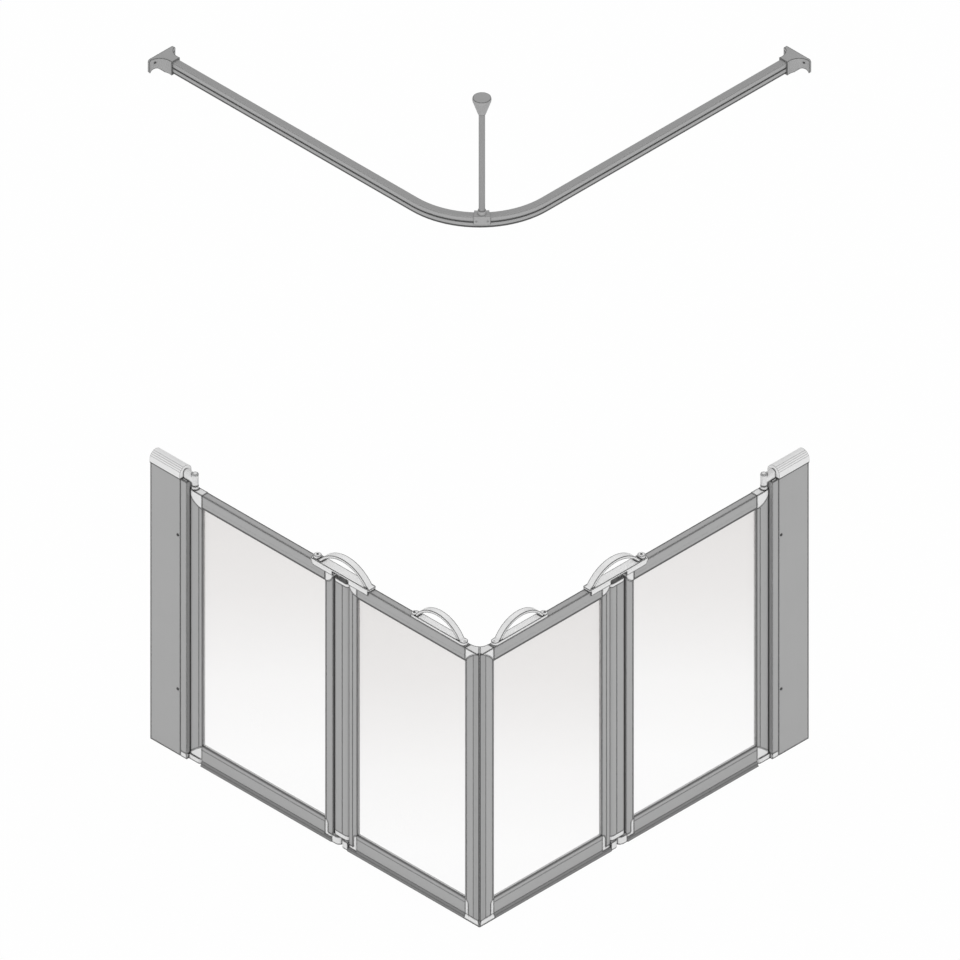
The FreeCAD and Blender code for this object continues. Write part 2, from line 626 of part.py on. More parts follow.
def fold_blocks():
    """Moulded ends of the fold post, each with a plug in its hollow."""
    cap_top = FOLD_POST_HIGH + FOLD_CAP
    cap = post_of(stadium(FOLD_A, FOLD_B, NOSE), FOLD_POST_HIGH, cap_top)
    cap = cap.fuse(fold_chamber(TENON_PLAY, FOLD_POST_HIGH - TENON, FOLD_POST_HIGH))
    base_low = FOLD_POST_LOW - FOLD_BASE
    base = post_of(stadium(FOLD_A, FOLD_B, NOSE), base_low, FOLD_POST_LOW)
    base = base.fuse(fold_chamber(TENON_PLAY, FOLD_POST_LOW, FOLD_POST_LOW + TENON))
    bores = pin_bores(base_low - MARGIN, cap_top + MARGIN)
    return Part.makeCompound([cap.cut(bores).removeSplitter(), base.cut(bores).removeSplitter()])


def fold_pins():
    """Short steel pins, two at the top and two at the bottom."""
    pins = []
    for u in (FOLD_A, FOLD_B):
        pins.append(rod(u, MID, FOLD_PIN_RADIUS, FOLD_POST_HIGH - FOLD_PIN_GRIP, LEAF_TOP - EAR_GAP))
        pins.append(rod(u, MID, FOLD_PIN_RADIUS, LEAF_BOTTOM, FOLD_POST_LOW + FOLD_PIN_GRIP))
    return Part.makeCompound(pins)


# Handles


def bow(middle, floor, crown, half, crown_radius, thickness, width):
    """Arched grip: a round crown that sweeps out to flat tails, with a finger gap under it."""
    turn = 2 * math.atan((crown - floor) / half)
    tail_radius = half / math.sin(turn) - crown_radius
    joint_u = crown_radius * math.sin(turn)
    joint_z = crown - crown_radius * (1 - math.cos(turn))
    tail_u = half - tail_radius * math.sin(turn / 2)
    tail_z = floor + tail_radius * (1 - math.cos(turn / 2))
    shape = outline(
        side(middle - half, floor),
        (side(middle - tail_u, tail_z), side(middle - joint_u, joint_z)),
        (side(middle, crown), side(middle + joint_u, joint_z)),
        (side(middle + tail_u, tail_z), side(middle + half, floor)))
    grip = shape.extrude(INWARD * width)
    grip.translate(INWARD * (MID - width / 2))
    centre = Vec(middle, MID - width, crown - crown_radius)
    hole = Part.makeCylinder(crown_radius - thickness, 2 * width, centre, INWARD)
    hole = hole.common(block(middle - half, middle + half, MID - width, MID + width, floor, crown))
    return grip.cut(hole)


def pull_handle():
    """Small handle on the inner leaf's top rail."""
    middle = INNER_BAY[1] - PULL_INSET
    floor = LEAF_TOP + PULL_BASE
    reach = PULL_LENGTH / 2 - PULL_WIDTH / 2
    base = post_of(stadium(middle - reach, middle + reach, PULL_WIDTH / 2), LEAF_TOP, floor)
    half = PULL_LENGTH / 2 - PULL_TAIL
    grip = bow(middle, floor, LEAF_TOP + PULL_RISE, half, PULL_CROWN_RADIUS, PULL_GRIP, PULL_GRIP_WIDTH)
    return base.fuse(grip).removeSplitter()


def skirt_of(face, v0, v1):
    """Side face given a thickness between two depths."""
    solid = face.extrude(INWARD * (v1 - v0))
    solid.translate(INWARD * v0)
    return solid


def fold_handle():
    """Large handle over the fold, fixed to the outer leaf; its front skirt also stops the inner leaf."""
    start = OUTER_FOLD_EDGE - FOLD_BASE_OUTER
    finish = INNER_FOLD_EDGE + FOLD_BASE_INNER
    front = MID - FOLD_HANDLE_WIDTH / 2
    rear = MID + FOLD_HANDLE_WIDTH / 2
    floor = LEAF_TOP + FOLD_HANDLE_BASE
    plate = post_of(rounded(plan, start, finish, front, rear, FOLD_BASE_CORNER), LEAF_TOP, floor)
    plate = plate.cut(block(OUTER_FOLD_EDGE, finish + MARGIN, front - MARGIN, rear + MARGIN,
                            LEAF_TOP - MARGIN, LEAF_TOP + HANDLE_LIFT))
    bend = FOLD_SKIRT * math.sqrt(0.5)
    drop = outline(
        side(start + FOLD_BASE_CORNER, LEAF_TOP),
        (side(start + FOLD_BASE_CORNER + FOLD_SKIRT - bend, LEAF_TOP - bend),
         side(start + FOLD_BASE_CORNER + FOLD_SKIRT, LEAF_TOP - FOLD_SKIRT)),
        side(OUTER_FOLD_EDGE, LEAF_TOP - FOLD_SKIRT), side(OUTER_FOLD_EDGE, floor),
        side(start + FOLD_BASE_CORNER, floor))
    stop = outline(
        side(INNER_FOLD_EDGE, LEAF_TOP - FOLD_SKIRT), side(finish - FOLD_BASE_CORNER, LEAF_TOP - FOLD_SKIRT),
        side(finish - FOLD_BASE_CORNER, floor), side(INNER_FOLD_EDGE, floor))
    skirts = [skirt_of(drop, front, LEAF_FRONT - SKIRT_PLAY), skirt_of(drop, LEAF_REAR + SKIRT_PLAY, rear),
              skirt_of(stop, front, LEAF_FRONT - SKIRT_PLAY)]
    middle = (start + FOLD_GRIP_INSET + finish) / 2
    half = finish - middle
    grip = bow(middle, floor, LEAF_TOP + FOLD_RISE, half, FOLD_CROWN_RADIUS, FOLD_GRIP, FOLD_GRIP_WIDTH)
    boss = rod(start + FOLD_BOSS_INSET, MID, FOLD_BOSS_RADIUS, floor - MARGIN, floor + FOLD_BOSS_HEIGHT)
    rim = [e for e in boss.Edges if abs(e.CenterOfMass.z - floor - FOLD_BOSS_HEIGHT) < 1e-6]
    boss = boss.makeFillet(BOSS_ROUND, rim)
    return plate.fuse(skirts + [grip, boss]).removeSplitter()


# Curtain rail set, in the part's own frame


RAIL_TOP = RAIL_UNDERSIDE + RAIL_HEIGHT
RAIL_Y = FACE_Y + RAIL_INSET
BEND_X = -RAIL_Y - RAIL_BEND
BEND_Y = RAIL_Y + RAIL_BEND
RAIL_START = WALL_X + BRACKET_REACH - SOCKET_DEPTH
ROD_X = BEND_X + RAIL_BEND * math.sin(math.radians(ROD_ANGLE))
ROD_Y = BEND_Y - RAIL_BEND * math.cos(math.radians(ROD_ANGLE))


def mirrored(shape):
    """The same piece on the other side of the diagonal."""
    return shape.mirror(Vec(0, 0, 0), Vec(1, 1, 0))


def rail_section():
    """Rail across its run: round top edges, glider track and slot below, a groove along the outside."""
    half = RAIL_WIDTH / 2
    z = RAIL_UNDERSIDE
    body = rounded(end, -half, half, z, RAIL_TOP, RAIL_ROUND)
    track = rounded(end, -RAIL_TRACK_WIDTH / 2, RAIL_TRACK_WIDTH / 2, z + RAIL_LIP,
                    z + RAIL_LIP + RAIL_TRACK_HEIGHT, EDGE_ROUND)
    slot = outline(end(-RAIL_SLOT / 2, z - MARGIN), end(RAIL_SLOT / 2, z - MARGIN),
                   end(RAIL_SLOT / 2, z + RAIL_LIP + MARGIN), end(-RAIL_SLOT / 2, z + RAIL_LIP + MARGIN))
    low = z + RAIL_GROOVE_LOW
    groove = outline(end(-half - MARGIN, low), end(-half + RAIL_GROOVE_DEPTH, low),
                     end(-half + RAIL_GROOVE_DEPTH, low + RAIL_GROOVE_WIDTH),
                     end(-half - MARGIN, low + RAIL_GROOVE_WIDTH))
    section = body.cut([track, slot, groove])
    return section.Faces[0]


def curtain_rail():
    """L-shaped rail with a rounded corner."""
    section = rail_section()
    straight = section.copy()
    straight.translate(Vec(RAIL_START, RAIL_Y, 0))
    straight = straight.extrude(ALONG * (BEND_X - RAIL_START))
    corner = section.copy()
    corner.translate(Vec(BEND_X, RAIL_Y, 0))
    corner = corner.revolve(Vec(BEND_X, BEND_Y, 0), UP, 90)
    return straight.fuse([corner, mirrored(straight)]).removeSplitter()


def rail_bracket():
    """Wall bracket: a flange that sweeps into a socket for the rail's end, arched underneath."""
    half = BRACKET_WIDTH / 2
    neck = RAIL_WIDTH / 2 + SOCKET_PLAY + SOCKET_WALL
    low = RAIL_UNDERSIDE + RAIL_HEIGHT / 2 - BRACKET_HEIGHT / 2
    bend = Vec((BRACKET_REACH + 3 * BRACKET_FLANGE) / 4, (half + 3 * neck) / 4, 0)
    shape = outline(
        plan(0, -half), plan(BRACKET_FLANGE, -half),
        (plan(bend.x, -bend.y), plan(BRACKET_REACH, -neck)), plan(BRACKET_REACH, neck),
        (plan(bend.x, bend.y), plan(BRACKET_FLANGE, half)), plan(0, half))
    face = rounded(end, -half, BRACKET_INSIDE, low, low + BRACKET_HEIGHT, BRACKET_ROUND)
    body = post_of(shape, low, low + BRACKET_HEIGHT).common(face.extrude(ALONG * BRACKET_REACH))
    slack = SOCKET_PLAY
    cuts = [block(BRACKET_REACH - SOCKET_DEPTH, BRACKET_REACH + MARGIN, -RAIL_WIDTH / 2 - slack,
                  RAIL_WIDTH / 2 + slack, RAIL_UNDERSIDE - slack, RAIL_TOP + slack)]
    for turn in (-1, 1):
        arch = turn * (half + neck) / 2
        middle = Vec(-MARGIN, arch, low - BRACKET_ARCH_DROP)
        cuts.append(Part.makeCylinder(BRACKET_ARCH, BRACKET_REACH, middle, ALONG))
        hole = Vec(-MARGIN, turn * BRACKET_HOLE_SPACING / 2, RAIL_UNDERSIDE + RAIL_HEIGHT * 0.75)
        cuts.append(Part.makeCylinder(BRACKET_HOLE_RADIUS, BRACKET_REACH, hole, ALONG))
    bracket = body.cut(cuts)
    bracket.translate(Vec(WALL_X, RAIL_Y, 0))
    return bracket


def saddle():
    """Saddle over the rail's bend, with the collar that takes the rod."""
    half = RAIL_WIDTH / 2 + SADDLE_PLAY
    skin = half + SADDLE_WALL
    top = RAIL_TOP + SADDLE_WALL
    section = outline(
        end(-skin, RAIL_TOP - SADDLE_DROP), end(-half, RAIL_TOP - SADDLE_DROP), end(-half, RAIL_TOP),
        end(half, RAIL_TOP), end(half, RAIL_TOP - SADDLE_DROP), end(skin, RAIL_TOP - SADDLE_DROP),
        end(skin, top), end(-skin, top))
    section.translate(Vec(BEND_X, RAIL_Y, 0))
    section.rotate(Vec(BEND_X, BEND_Y, 0), UP, ROD_ANGLE - SADDLE_ANGLE / 2)
    strap = section.revolve(Vec(BEND_X, BEND_Y, 0), UP, SADDLE_ANGLE)
    collar = rod(ROD_X, ROD_Y, COLLAR_RADIUS, RAIL_TOP, RAIL_TOP + COLLAR_HEIGHT)
    return strap.fuse(collar).cut(rod_solid(SADDLE_PLAY)).removeSplitter()


def rod_solid(play=0.0):
    """Ceiling rod, or with a play the socket that it stands in."""
    return rod(ROD_X, ROD_Y, ROD_RADIUS + play, RAIL_TOP + SADDLE_WALL, CEILING - CUP_HEIGHT / 2)


def ceiling_cup():
    """Tapered cup that covers the rod's fixing at the ceiling."""
    low = CEILING - CUP_HEIGHT
    neck = COLLAR_RADIUS
    section = outline(
        end(0, low), end(neck, low), end(CUP_RADIUS, CEILING - 2 * CUP_ROUND),
        (end(CUP_RADIUS + CUP_ROUND * 0.2, CEILING - CUP_ROUND), end(CUP_RADIUS, CEILING)), end(0, CEILING))
    cup = section.revolve(Vec(0, 0, 0), UP, 360)
    cup.translate(Vec(ROD_X, ROD_Y, 0))
    return cup.cut(rod_solid(SADDLE_PLAY))


# Assembly


def outer_leaf(pieces):
    """Leaf between the wall pivot and the fold."""
    bay = OUTER_BAY
    ends = {"hinge": (bay[0], -1, hinge_profile()),
            "fold": (bay[1], 1, fold_profile(bay[1], OUTER_FOLD_EDGE))}
    foot = PIVOT_PLATE + PIVOT_LIFT
    regions = {
        "hinge": (top_region(bay[0], PIVOT - NOSE - MARGIN, HINGE_ARC_HIGH, HINGE_ARC_SAG),
                  bottom_region(bay[0], PIVOT - NOSE - MARGIN, bay[0] - PIVOT + NOSE,
                                GLASS_LOW - foot - HINGE_FOOT_RISE, foot, foot, 0.52)),
        "fold": (top_region(bay[1], OUTER_FOLD_EDGE + MARGIN, FOLD_ARC_HIGH, FOLD_ARC_SAG),
                 bottom_region(bay[1], OUTER_FOLD_EDGE + MARGIN, FOLD_FOOT_WIDTH, FOOT_DROP,
                               FOLD_FOOT_LOW, FOLD_FOOT_HIGH))}
    bore = SPIGOT_RADIUS + RUNNING_PLAY
    high_bore = rod(PIVOT, MID, bore, LEAF_TOP - SPIGOT_DEPTH - MARGIN, KNUCKLE_LOW)
    low_bore = rod(PIVOT, MID, bore, 0, PIVOT_PLATE + SPIGOT_DEPTH + MARGIN)
    lines = {"hinge": BEAD_LINE, "fold": EDGE_LINE}
    connectors = []
    for name, (inner, turn, profile) in ends.items():
        stile = stile_of(profile, bay, inner, turn, list(regions[name]), lines[name])
        top = connector_of(profile, bay, inner, turn, regions[name][0], True)
        bottom = connector_of(profile, bay, inner, turn, regions[name][1], False)
        if name == "hinge":
            boss = rod(PIVOT, MID, KNUCKLE_RADIUS, LEAF_TOP - PROFILE_WALL, KNUCKLE_LOW - KNUCKLE_GAP)
            top = top.fuse(boss).cut(high_bore).removeSplitter()
            relief = block(PIVOT - NOSE - MARGIN, inner, 0, POST_DEPTH, 0, foot)
            bottom = bottom.cut([low_bore, relief])
            stile = stile.cut([high_bore, low_bore, relief])
        else:
            ears = fold_ears(OUTER_FOLD_EDGE, FOLD_A)
            top = top.fuse(ears[0]).removeSplitter()
            bottom = bottom.fuse(ears[1]).removeSplitter()
        pieces["outer_%s_stile" % name] = stile
        connectors += [top, bottom]
    pieces["outer_corners"] = Part.makeCompound(connectors)
    pieces["outer_top_rail"] = rail_of(bay, GLASS_HIGH, LEAF_TOP, TOP_CHAMBER)
    pieces["outer_bottom_rail"] = rail_of(bay, RAIL_BASE, GLASS_LOW, BOTTOM_CHAMBER)
    pieces["outer_glass"] = glass_of(bay)
    pieces["outer_gasket"] = gasket_of(bay)
    pieces["outer_seal"] = seal_of(bay, OUTER_FOLD_EDGE)
    pieces["fold_handle"] = fold_handle()


def inner_leaf(pieces):
    """Leaf between the fold and the free corner."""
    bay = INNER_BAY
    far = MITRE
    fold_face = fold_profile(bay[0], INNER_FOLD_EDGE)
    fold_regions = [top_region(bay[0], INNER_FOLD_EDGE - MARGIN, FOLD_ARC_HIGH, FOLD_ARC_SAG, INNER_ARC_LIFT),
                    bottom_region(bay[0], INNER_FOLD_EDGE - MARGIN, FOLD_FOOT_WIDTH, FOOT_DROP,
                                  FOLD_FOOT_LOW, FOLD_FOOT_HIGH)]
    corner_regions = [top_region(bay[1], far - LEAF_FRONT - CORNER_TIP, CORNER_ARC_HIGH, CORNER_ARC_SAG),
                      bottom_region(bay[1], far, FOLD_FOOT_WIDTH, FOOT_DROP, LEAF_BOTTOM, RAIL_BASE)]
    ears = fold_ears(INNER_FOLD_EDGE, FOLD_B)
    fold_top = connector_of(fold_face, bay, bay[0], -1, fold_regions[0], True).fuse(ears[0])
    fold_bottom = connector_of(fold_face, bay, bay[0], -1, fold_regions[1], False).fuse(ears[1])
    cap_face = corner_cap_profile()
    foot_face = corner_profile().fuse(mitre_profile()).removeSplitter().Faces[0]
    corner_top = connector_of(cap_face, bay, bay[1], 1, corner_regions[0], True)
    corner_bottom = connector_of(foot_face, bay, bay[1], 1, corner_regions[1], False)
    reach = far + POST_DEPTH
    half_plan = outline(plan(bay[1], far - reach), plan(reach, far - reach), plan(bay[1], far - bay[1]))
    own_side = post_of(half_plan, 0, RAIL_BASE)
    corner_bottom = corner_bottom.fuse(toe_of(bay[1], far).common(own_side)).removeSplitter()
    pieces["inner_fold_stile"] = stile_of(fold_face, bay, bay[0], -1, fold_regions, FOLD_BEAD_LINE)
    pieces["inner_corner_stile"] = stile_of(corner_profile(), bay, bay[1], 1, corner_regions, EDGE_LINE)
    pieces["corner_seal"] = post_of(mitre_profile(), RAIL_BASE, LEAF_TOP).cut(corner_regions)
    pieces["inner_corners"] = Part.makeCompound(
        [fold_top.removeSplitter(), fold_bottom.removeSplitter(), corner_top, corner_bottom])
    pieces["inner_top_rail"] = rail_of(bay, GLASS_HIGH, LEAF_TOP, TOP_CHAMBER)
    pieces["inner_bottom_rail"] = rail_of(bay, RAIL_BASE, GLASS_LOW, BOTTOM_CHAMBER)
    pieces["inner_glass"] = glass_of(bay)
    pieces["inner_gasket"] = gasket_of(bay)
    pieces["inner_seal"] = seal_of(bay, INNER_FOLD_EDGE)
    pieces["pull_handle"] = pull_handle()


def one_side():
    """Every piece of one side, in that side's coordinates."""
    pieces = {
        "wall_channel": wall_channel(), "wall_post": wall_post(), "post_cap": post_cap(),
        "post_screws": post_screws(), "pivot_brackets": pivot_brackets(),
        "fold_post": fold_post(), "fold_blocks": fold_blocks(), "fold_pins": fold_pins()}
    outer_leaf(pieces)
    inner_leaf(pieces)
    return pieces


def whole_part():
    """Both sides and the rail set, in the part's frame."""
    nodes = {}
    for name, shape in one_side().items():
        left = shape.copy()
        left.translate(Vec(WALL_X, FACE_Y, 0))
        nodes["left_" + name] = left
        nodes["right_" + name] = mirrored(left)
    bracket = rail_bracket()
    nodes["curtain_rail"] = curtain_rail()
    nodes["rail_brackets"] = Part.makeCompound([bracket, mirrored(bracket)])
    nodes["ceiling_rod"] = rod_solid()
    nodes["ceiling_cup"] = ceiling_cup()
    nodes["rod_saddle"] = saddle()
    return nodes


os.makedirs("parts", exist_ok=True)
for node, solid in whole_part().items():
    solid.exportStep("parts/%s.step" % node)
    print(node, len(solid.Solids), solid.isValid(), round(solid.Volume))
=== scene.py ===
"""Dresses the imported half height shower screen: finishes, small screws, floor, light and camera."""

from __future__ import annotations

import json
import logging
import math
from dataclasses import dataclass
from enum import Enum
from typing import Any

import bmesh
import bpy
from mathutils import Matrix, Vector

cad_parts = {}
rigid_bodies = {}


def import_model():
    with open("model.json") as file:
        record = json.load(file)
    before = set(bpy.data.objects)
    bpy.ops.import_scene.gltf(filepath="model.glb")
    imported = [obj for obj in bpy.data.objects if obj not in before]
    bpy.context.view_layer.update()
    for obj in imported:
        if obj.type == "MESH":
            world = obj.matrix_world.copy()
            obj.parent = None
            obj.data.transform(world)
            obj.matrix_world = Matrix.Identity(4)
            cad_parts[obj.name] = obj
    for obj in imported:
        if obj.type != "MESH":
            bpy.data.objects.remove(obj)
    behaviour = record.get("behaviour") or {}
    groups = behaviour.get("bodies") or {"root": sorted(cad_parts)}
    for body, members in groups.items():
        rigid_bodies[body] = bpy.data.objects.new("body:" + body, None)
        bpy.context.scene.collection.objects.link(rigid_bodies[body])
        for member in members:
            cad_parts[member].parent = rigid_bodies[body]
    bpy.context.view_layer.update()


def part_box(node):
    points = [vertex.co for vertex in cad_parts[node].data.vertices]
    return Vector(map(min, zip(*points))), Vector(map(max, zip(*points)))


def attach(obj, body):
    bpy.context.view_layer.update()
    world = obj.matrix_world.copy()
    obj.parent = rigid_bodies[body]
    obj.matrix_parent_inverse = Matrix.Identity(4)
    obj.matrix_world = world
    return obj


LOG = logging.getLogger("shower_screen")
MM = 0.001
Triple = tuple[float, float, float]
Colour = Triple
UP: Triple = (0.0, 0.0, 1.0)
WHITE = (1.0, 1.0, 1.0, 1.0)

# Display levels of the two finishes that most pieces have.
FRAME_LEVEL = 166
PALE_LEVEL = 229

# How far a band reaches past the face at which it ends.
OVERRUN = 1.0 * MM

# Octaves of the noise textures, and samples of the edge mask and of the painted crevice shade.
SOFT_NOISE = 1.0
PLAIN_NOISE = 2.0
FINE_NOISE = 3.0
MASK_SAMPLES = 6

# Openness below which a surface takes painted crevice shade, and the turn in degrees at which a face looks
# elsewhere.
OPEN_SHARE = 0.92
FACING_SPREAD = 25.0

# Sockets of the Mix node that belong to its colours.
MIX_FIRST = 6
MIX_SECOND = 7
MIX_RESULT = 2


def even(cells: float) -> Triple:
    """Noise cells per metre, the same along each axis."""
    return (cells, cells, cells)


def grey(level: float) -> Colour:
    """Linear colour of a grey.

    Args:
        level: Display value from 0 to 255.

    Returns:
        The same grey as a linear red, green and blue.
    """
    return tint(level, level, level)


def tint(red: float, green: float, blue: float) -> Colour:
    """Linear colour of an sRGB display colour.

    Args:
        red: Display value from 0 to 255.
        green: Display value from 0 to 255.
        blue: Display value from 0 to 255.

    Returns:
        The linear red, green and blue.
    """

    def linear(level: float) -> float:
        """One channel made linear."""
        share = level / 255
        return share / 12.92 if share <= 0.04045 else ((share + 0.055) / 1.055) ** 2.4

    return (linear(red), linear(green), linear(blue))


class Run(Enum):
    """Direction in which a profile was drawn, as its fine lines' noise cells per metre along each axis."""

    ALONG_X = (2.0, 700.0, 700.0)
    ALONG_Y = (700.0, 2.0, 700.0)
    UPRIGHT = (700.0, 700.0, 2.0)
    ROUND = (420.0, 420.0, 420.0)


class Side(Enum):
    """The two sides of the screen, mirror images about the plan's diagonal."""

    LEFT = "left"
    RIGHT = "right"

    @property
    def rail_run(self) -> Run:
        """Run of this side's rails."""
        return Run.ALONG_X if self is Side.LEFT else Run.ALONG_Y

    @property
    def out(self) -> Triple:
        """Direction along this side's screen, from its wall to the free corner."""
        return (1.0, 0.0, 0.0) if self is Side.LEFT else (0.0, -1.0, 0.0)

    def node(self, name: str) -> str:
        """Name of this side's CAD node."""
        return f"{self.value}_{name}"

    def turned(self, point: Vector) -> Vector:
        """Point of the left side carried to this side.

        Args:
            point: Place on the left side, in metres.

        Returns:
            The same place on this side.
        """
        if self is Side.LEFT:
            return point.copy()
        return Vector((-point.y, -point.x, point.z))


@dataclass(frozen=True)
class Band:
    """Level stripe of another grey between two heights, in metres; sharpness is one over the blend width."""

    low: float
    high: float
    level: float
    sharpness: float = 4000.0


class Sock:
    """Output of a shader node that takes part in Python arithmetic."""

    def __init__(self, graph: Graph, socket: bpy.types.NodeSocket | None) -> None:
        """Keep the graph and the socket."""
        self.graph = graph
        self.socket = socket

    def _math(self, operation: str, first: Any, second: Any) -> Sock:
        """Math node on two values.

        Args:
            operation: Name of the Math node's operation.
            first: Socket or number.
            second: Socket or number.

        Returns:
            The node's value.
        """
        return self.graph.node("ShaderNodeMath", {"operation": operation}, {0: first, 1: second})

    def __add__(self, other: Any) -> Sock:
        """Sum."""
        return self._math("ADD", self, other)

    def __radd__(self, other: Any) -> Sock:
        """Sum with a number first."""
        return self._math("ADD", other, self)

    def __sub__(self, other: Any) -> Sock:
        """Difference."""
        return self._math("SUBTRACT", self, other)

    def __rsub__(self, other: Any) -> Sock:
        """Difference from a number."""
        return self._math("SUBTRACT", other, self)

    def __mul__(self, other: Any) -> Sock:
        """Product."""
        return self._math("MULTIPLY", self, other)

    def __rmul__(self, other: Any) -> Sock:
        """Product with a number first."""
        return self._math("MULTIPLY", other, self)

    def clamped(self) -> Sock:
        """Value held between 0 and 1."""
        return self.graph.node("ShaderNodeClamp", {}, {"Value": self})

    def size(self) -> Sock:
        """Value without its sign."""
        return self._math("ABSOLUTE", self, 0.0)

    def larger(self, other: Any) -> Sock:
        """Larger of two values."""
        return self._math("MAXIMUM", self, other)


class Graph:
    """Shader graph of a material or of the world."""

    def __init__(self, tree: bpy.types.NodeTree, material: bpy.types.Material | None = None) -> None:
        """Work on a node tree.

        Args:
            tree: Tree that takes the nodes.
            material: Material that owns the tree, if one does.
        """
        self.tree = tree
        self.material = material

    @classmethod
    def for_material(cls, name: str) -> Graph:
        """Graph of a new, empty material.

        Args:
            name: Name of the material.

        Returns:
            The graph.
        """
        material = bpy.data.materials.new(name)
        material.use_nodes = True
        material.node_tree.nodes.clear()
        return cls(material.node_tree, material)

    def node(self, kind: str, settings: dict[str, Any] | None = None, values: dict[Any, Any] | None = None,
             output: int | str = 0) -> Sock:
        """Add a node.

        Args:
            kind: Blender's type name of the node.
            settings: Properties that are set first; stops holds a ramp's positions and colours.
            values: Numbers, colours or sockets by input name or index.
            output: Name or index of the output to return.

        Returns:
            The chosen output.
        """
        made = self.tree.nodes.new(kind)
        for key, value in (settings or {}).items():
            if key == "stops":
                self._set_stops(made.color_ramp, value)
            else:
                setattr(made, key, value)
        for key, value in (values or {}).items():
            if isinstance(value, Sock):
                self.tree.links.new(value.socket, made.inputs[key])
            else:
                made.inputs[key].default_value = value
        return Sock(self, made.outputs[output] if made.outputs else None)

    @staticmethod
    def _set_stops(ramp: bpy.types.ColorRamp, stops: list[tuple[float, float]]) -> None:
        """Give a ramp its stops.

        Args:
            ramp: The ramp, with two stops of its own.
            stops: Positions and grey values, in order.
        """
        while len(ramp.elements) < len(stops):
            ramp.elements.new(1.0)
        for element, (place, value) in zip(ramp.elements, stops):
            element.position = place
            element.color = (value, value, value, 1.0)

    def place(self) -> Sock:
        """Place on the piece, in the part's own frame."""
        return self.node("ShaderNodeTexCoord", output="Object")

    def dot(self, first: Sock, second: Sock | Triple) -> Sock:
        """Dot product of two vectors."""
        return self.node("ShaderNodeVectorMath", {"operation": "DOT_PRODUCT"}, {0: first, 1: second}, "Value")

    def along(self, way: Triple) -> Sock:
        """Distance along a direction, in the part's own frame.

        Args:
            way: The direction; its length scales the distance.

        Returns:
            The distance from the origin.
        """
        return self.dot(self.place(), way)

    def facing(self, way: Triple) -> Sock:
        """Where the surface looks along a direction.

        Args:
            way: Unit direction in the part's own frame.

        Returns:
            1 on a face that looks that way, falling to 0 where it has turned by FACING_SPREAD.
        """
        share = self.dot(self.node("ShaderNodeTexCoord", output="Normal"), way)
        limit = math.cos(math.radians(FACING_SPREAD))
        return ((share - limit) * (1 / (1 - limit))).clamped()

    def noise(self, scale: Triple, detail: float) -> Sock:
        """Noise in the part's own frame.

        Args:
            scale: Cells per metre along each axis.
            detail: Octaves of finer noise.

        Returns:
            A value about one half.
        """
        where = self.node("ShaderNodeVectorMath", {"operation": "MULTIPLY"}, {0: self.place(), 1: scale})
        return self.node("ShaderNodeTexNoise", {}, {"Vector": where, "Scale": 1.0, "Detail": detail})

    def edge_line(self, width: float, gain: float) -> Sock:
        """Mask of the piece's own sharp edges.

        Args:
            width: Reach of the mask from the edge, in metres.
            gain: Strength of the mask.

        Returns:
            0 on open surfaces and 1 at edges.
        """
        eased = self.node("ShaderNodeBevel", {"samples": MASK_SAMPLES}, {"Radius": width}, "Normal")
        flat = self.node("ShaderNodeNewGeometry", output="Normal")
        return ((1 - self.dot(eased, flat)) * gain).clamped()

    def painted_crevice_shade(self, reach: float, gain: float) -> Sock:
        """Mask of painted shade in joints and gaps between pieces.

        Args:
            reach: How far a neighbour counts, in metres.
            gain: Strength of the mask.

        Returns:
            0 on open surfaces and 1 deep in a gap.
        """
        settings = {"samples": MASK_SAMPLES}
        openness = self.node("ShaderNodeAmbientOcclusion", settings, {"Distance": reach}, "AO")
        return ((OPEN_SHARE - openness) * gain).clamped()

    def mix(self, share: Sock, first: Colour | Sock, second: Colour | Sock) -> Sock:
        """Blend of two colours.

        Args:
            share: How much of the second colour shows.
            first: Colour or socket.
            second: Colour or socket.

        Returns:
            The blended colour.
        """
        below, above = (c if isinstance(c, Sock) else (*c, 1.0) for c in (first, second))
        settings = {"data_type": "RGBA", "blend_type": "MIX"}
        values = {0: share, MIX_FIRST: below, MIX_SECOND: above}
        return self.node("ShaderNodeMix", settings, values, MIX_RESULT)

    def banded(self, colour: Sock, bands: tuple[Band, ...]) -> Sock:
        """Colour with level stripes over it.

        Args:
            colour: Colour below the stripes.
            bands: The stripes, each over the ones before it.

        Returns:
            The striped colour.
        """
        for band in bands:
            height = self.along(UP)
            above = ((height - band.low) * band.sharpness).clamped()
            below = ((band.high - height) * band.sharpness).clamped()
            colour = self.mix(above * below, colour, grey(band.level))
        return colour

    def bump(self, height: Sock, distance: float, strength: float) -> Sock:
        """Surface normal from a height."""
        values = {"Height": height, "Distance": distance, "Strength": strength}
        return self.node("ShaderNodeBump", {}, values)

    def surface(self, **values: Any) -> bpy.types.Material:
        """Finish the material with a Principled shader.

        Args:
            **values: Inputs of the shader, with underscores for spaces.

        Returns:
            The material.
        """
        inputs = {key.replace("_", " "): value for key, value in values.items()}
        shader = self.node("ShaderNodeBsdfPrincipled", {}, inputs)
        self.node("ShaderNodeOutputMaterial", {}, {"Surface": shader})
        return self.material


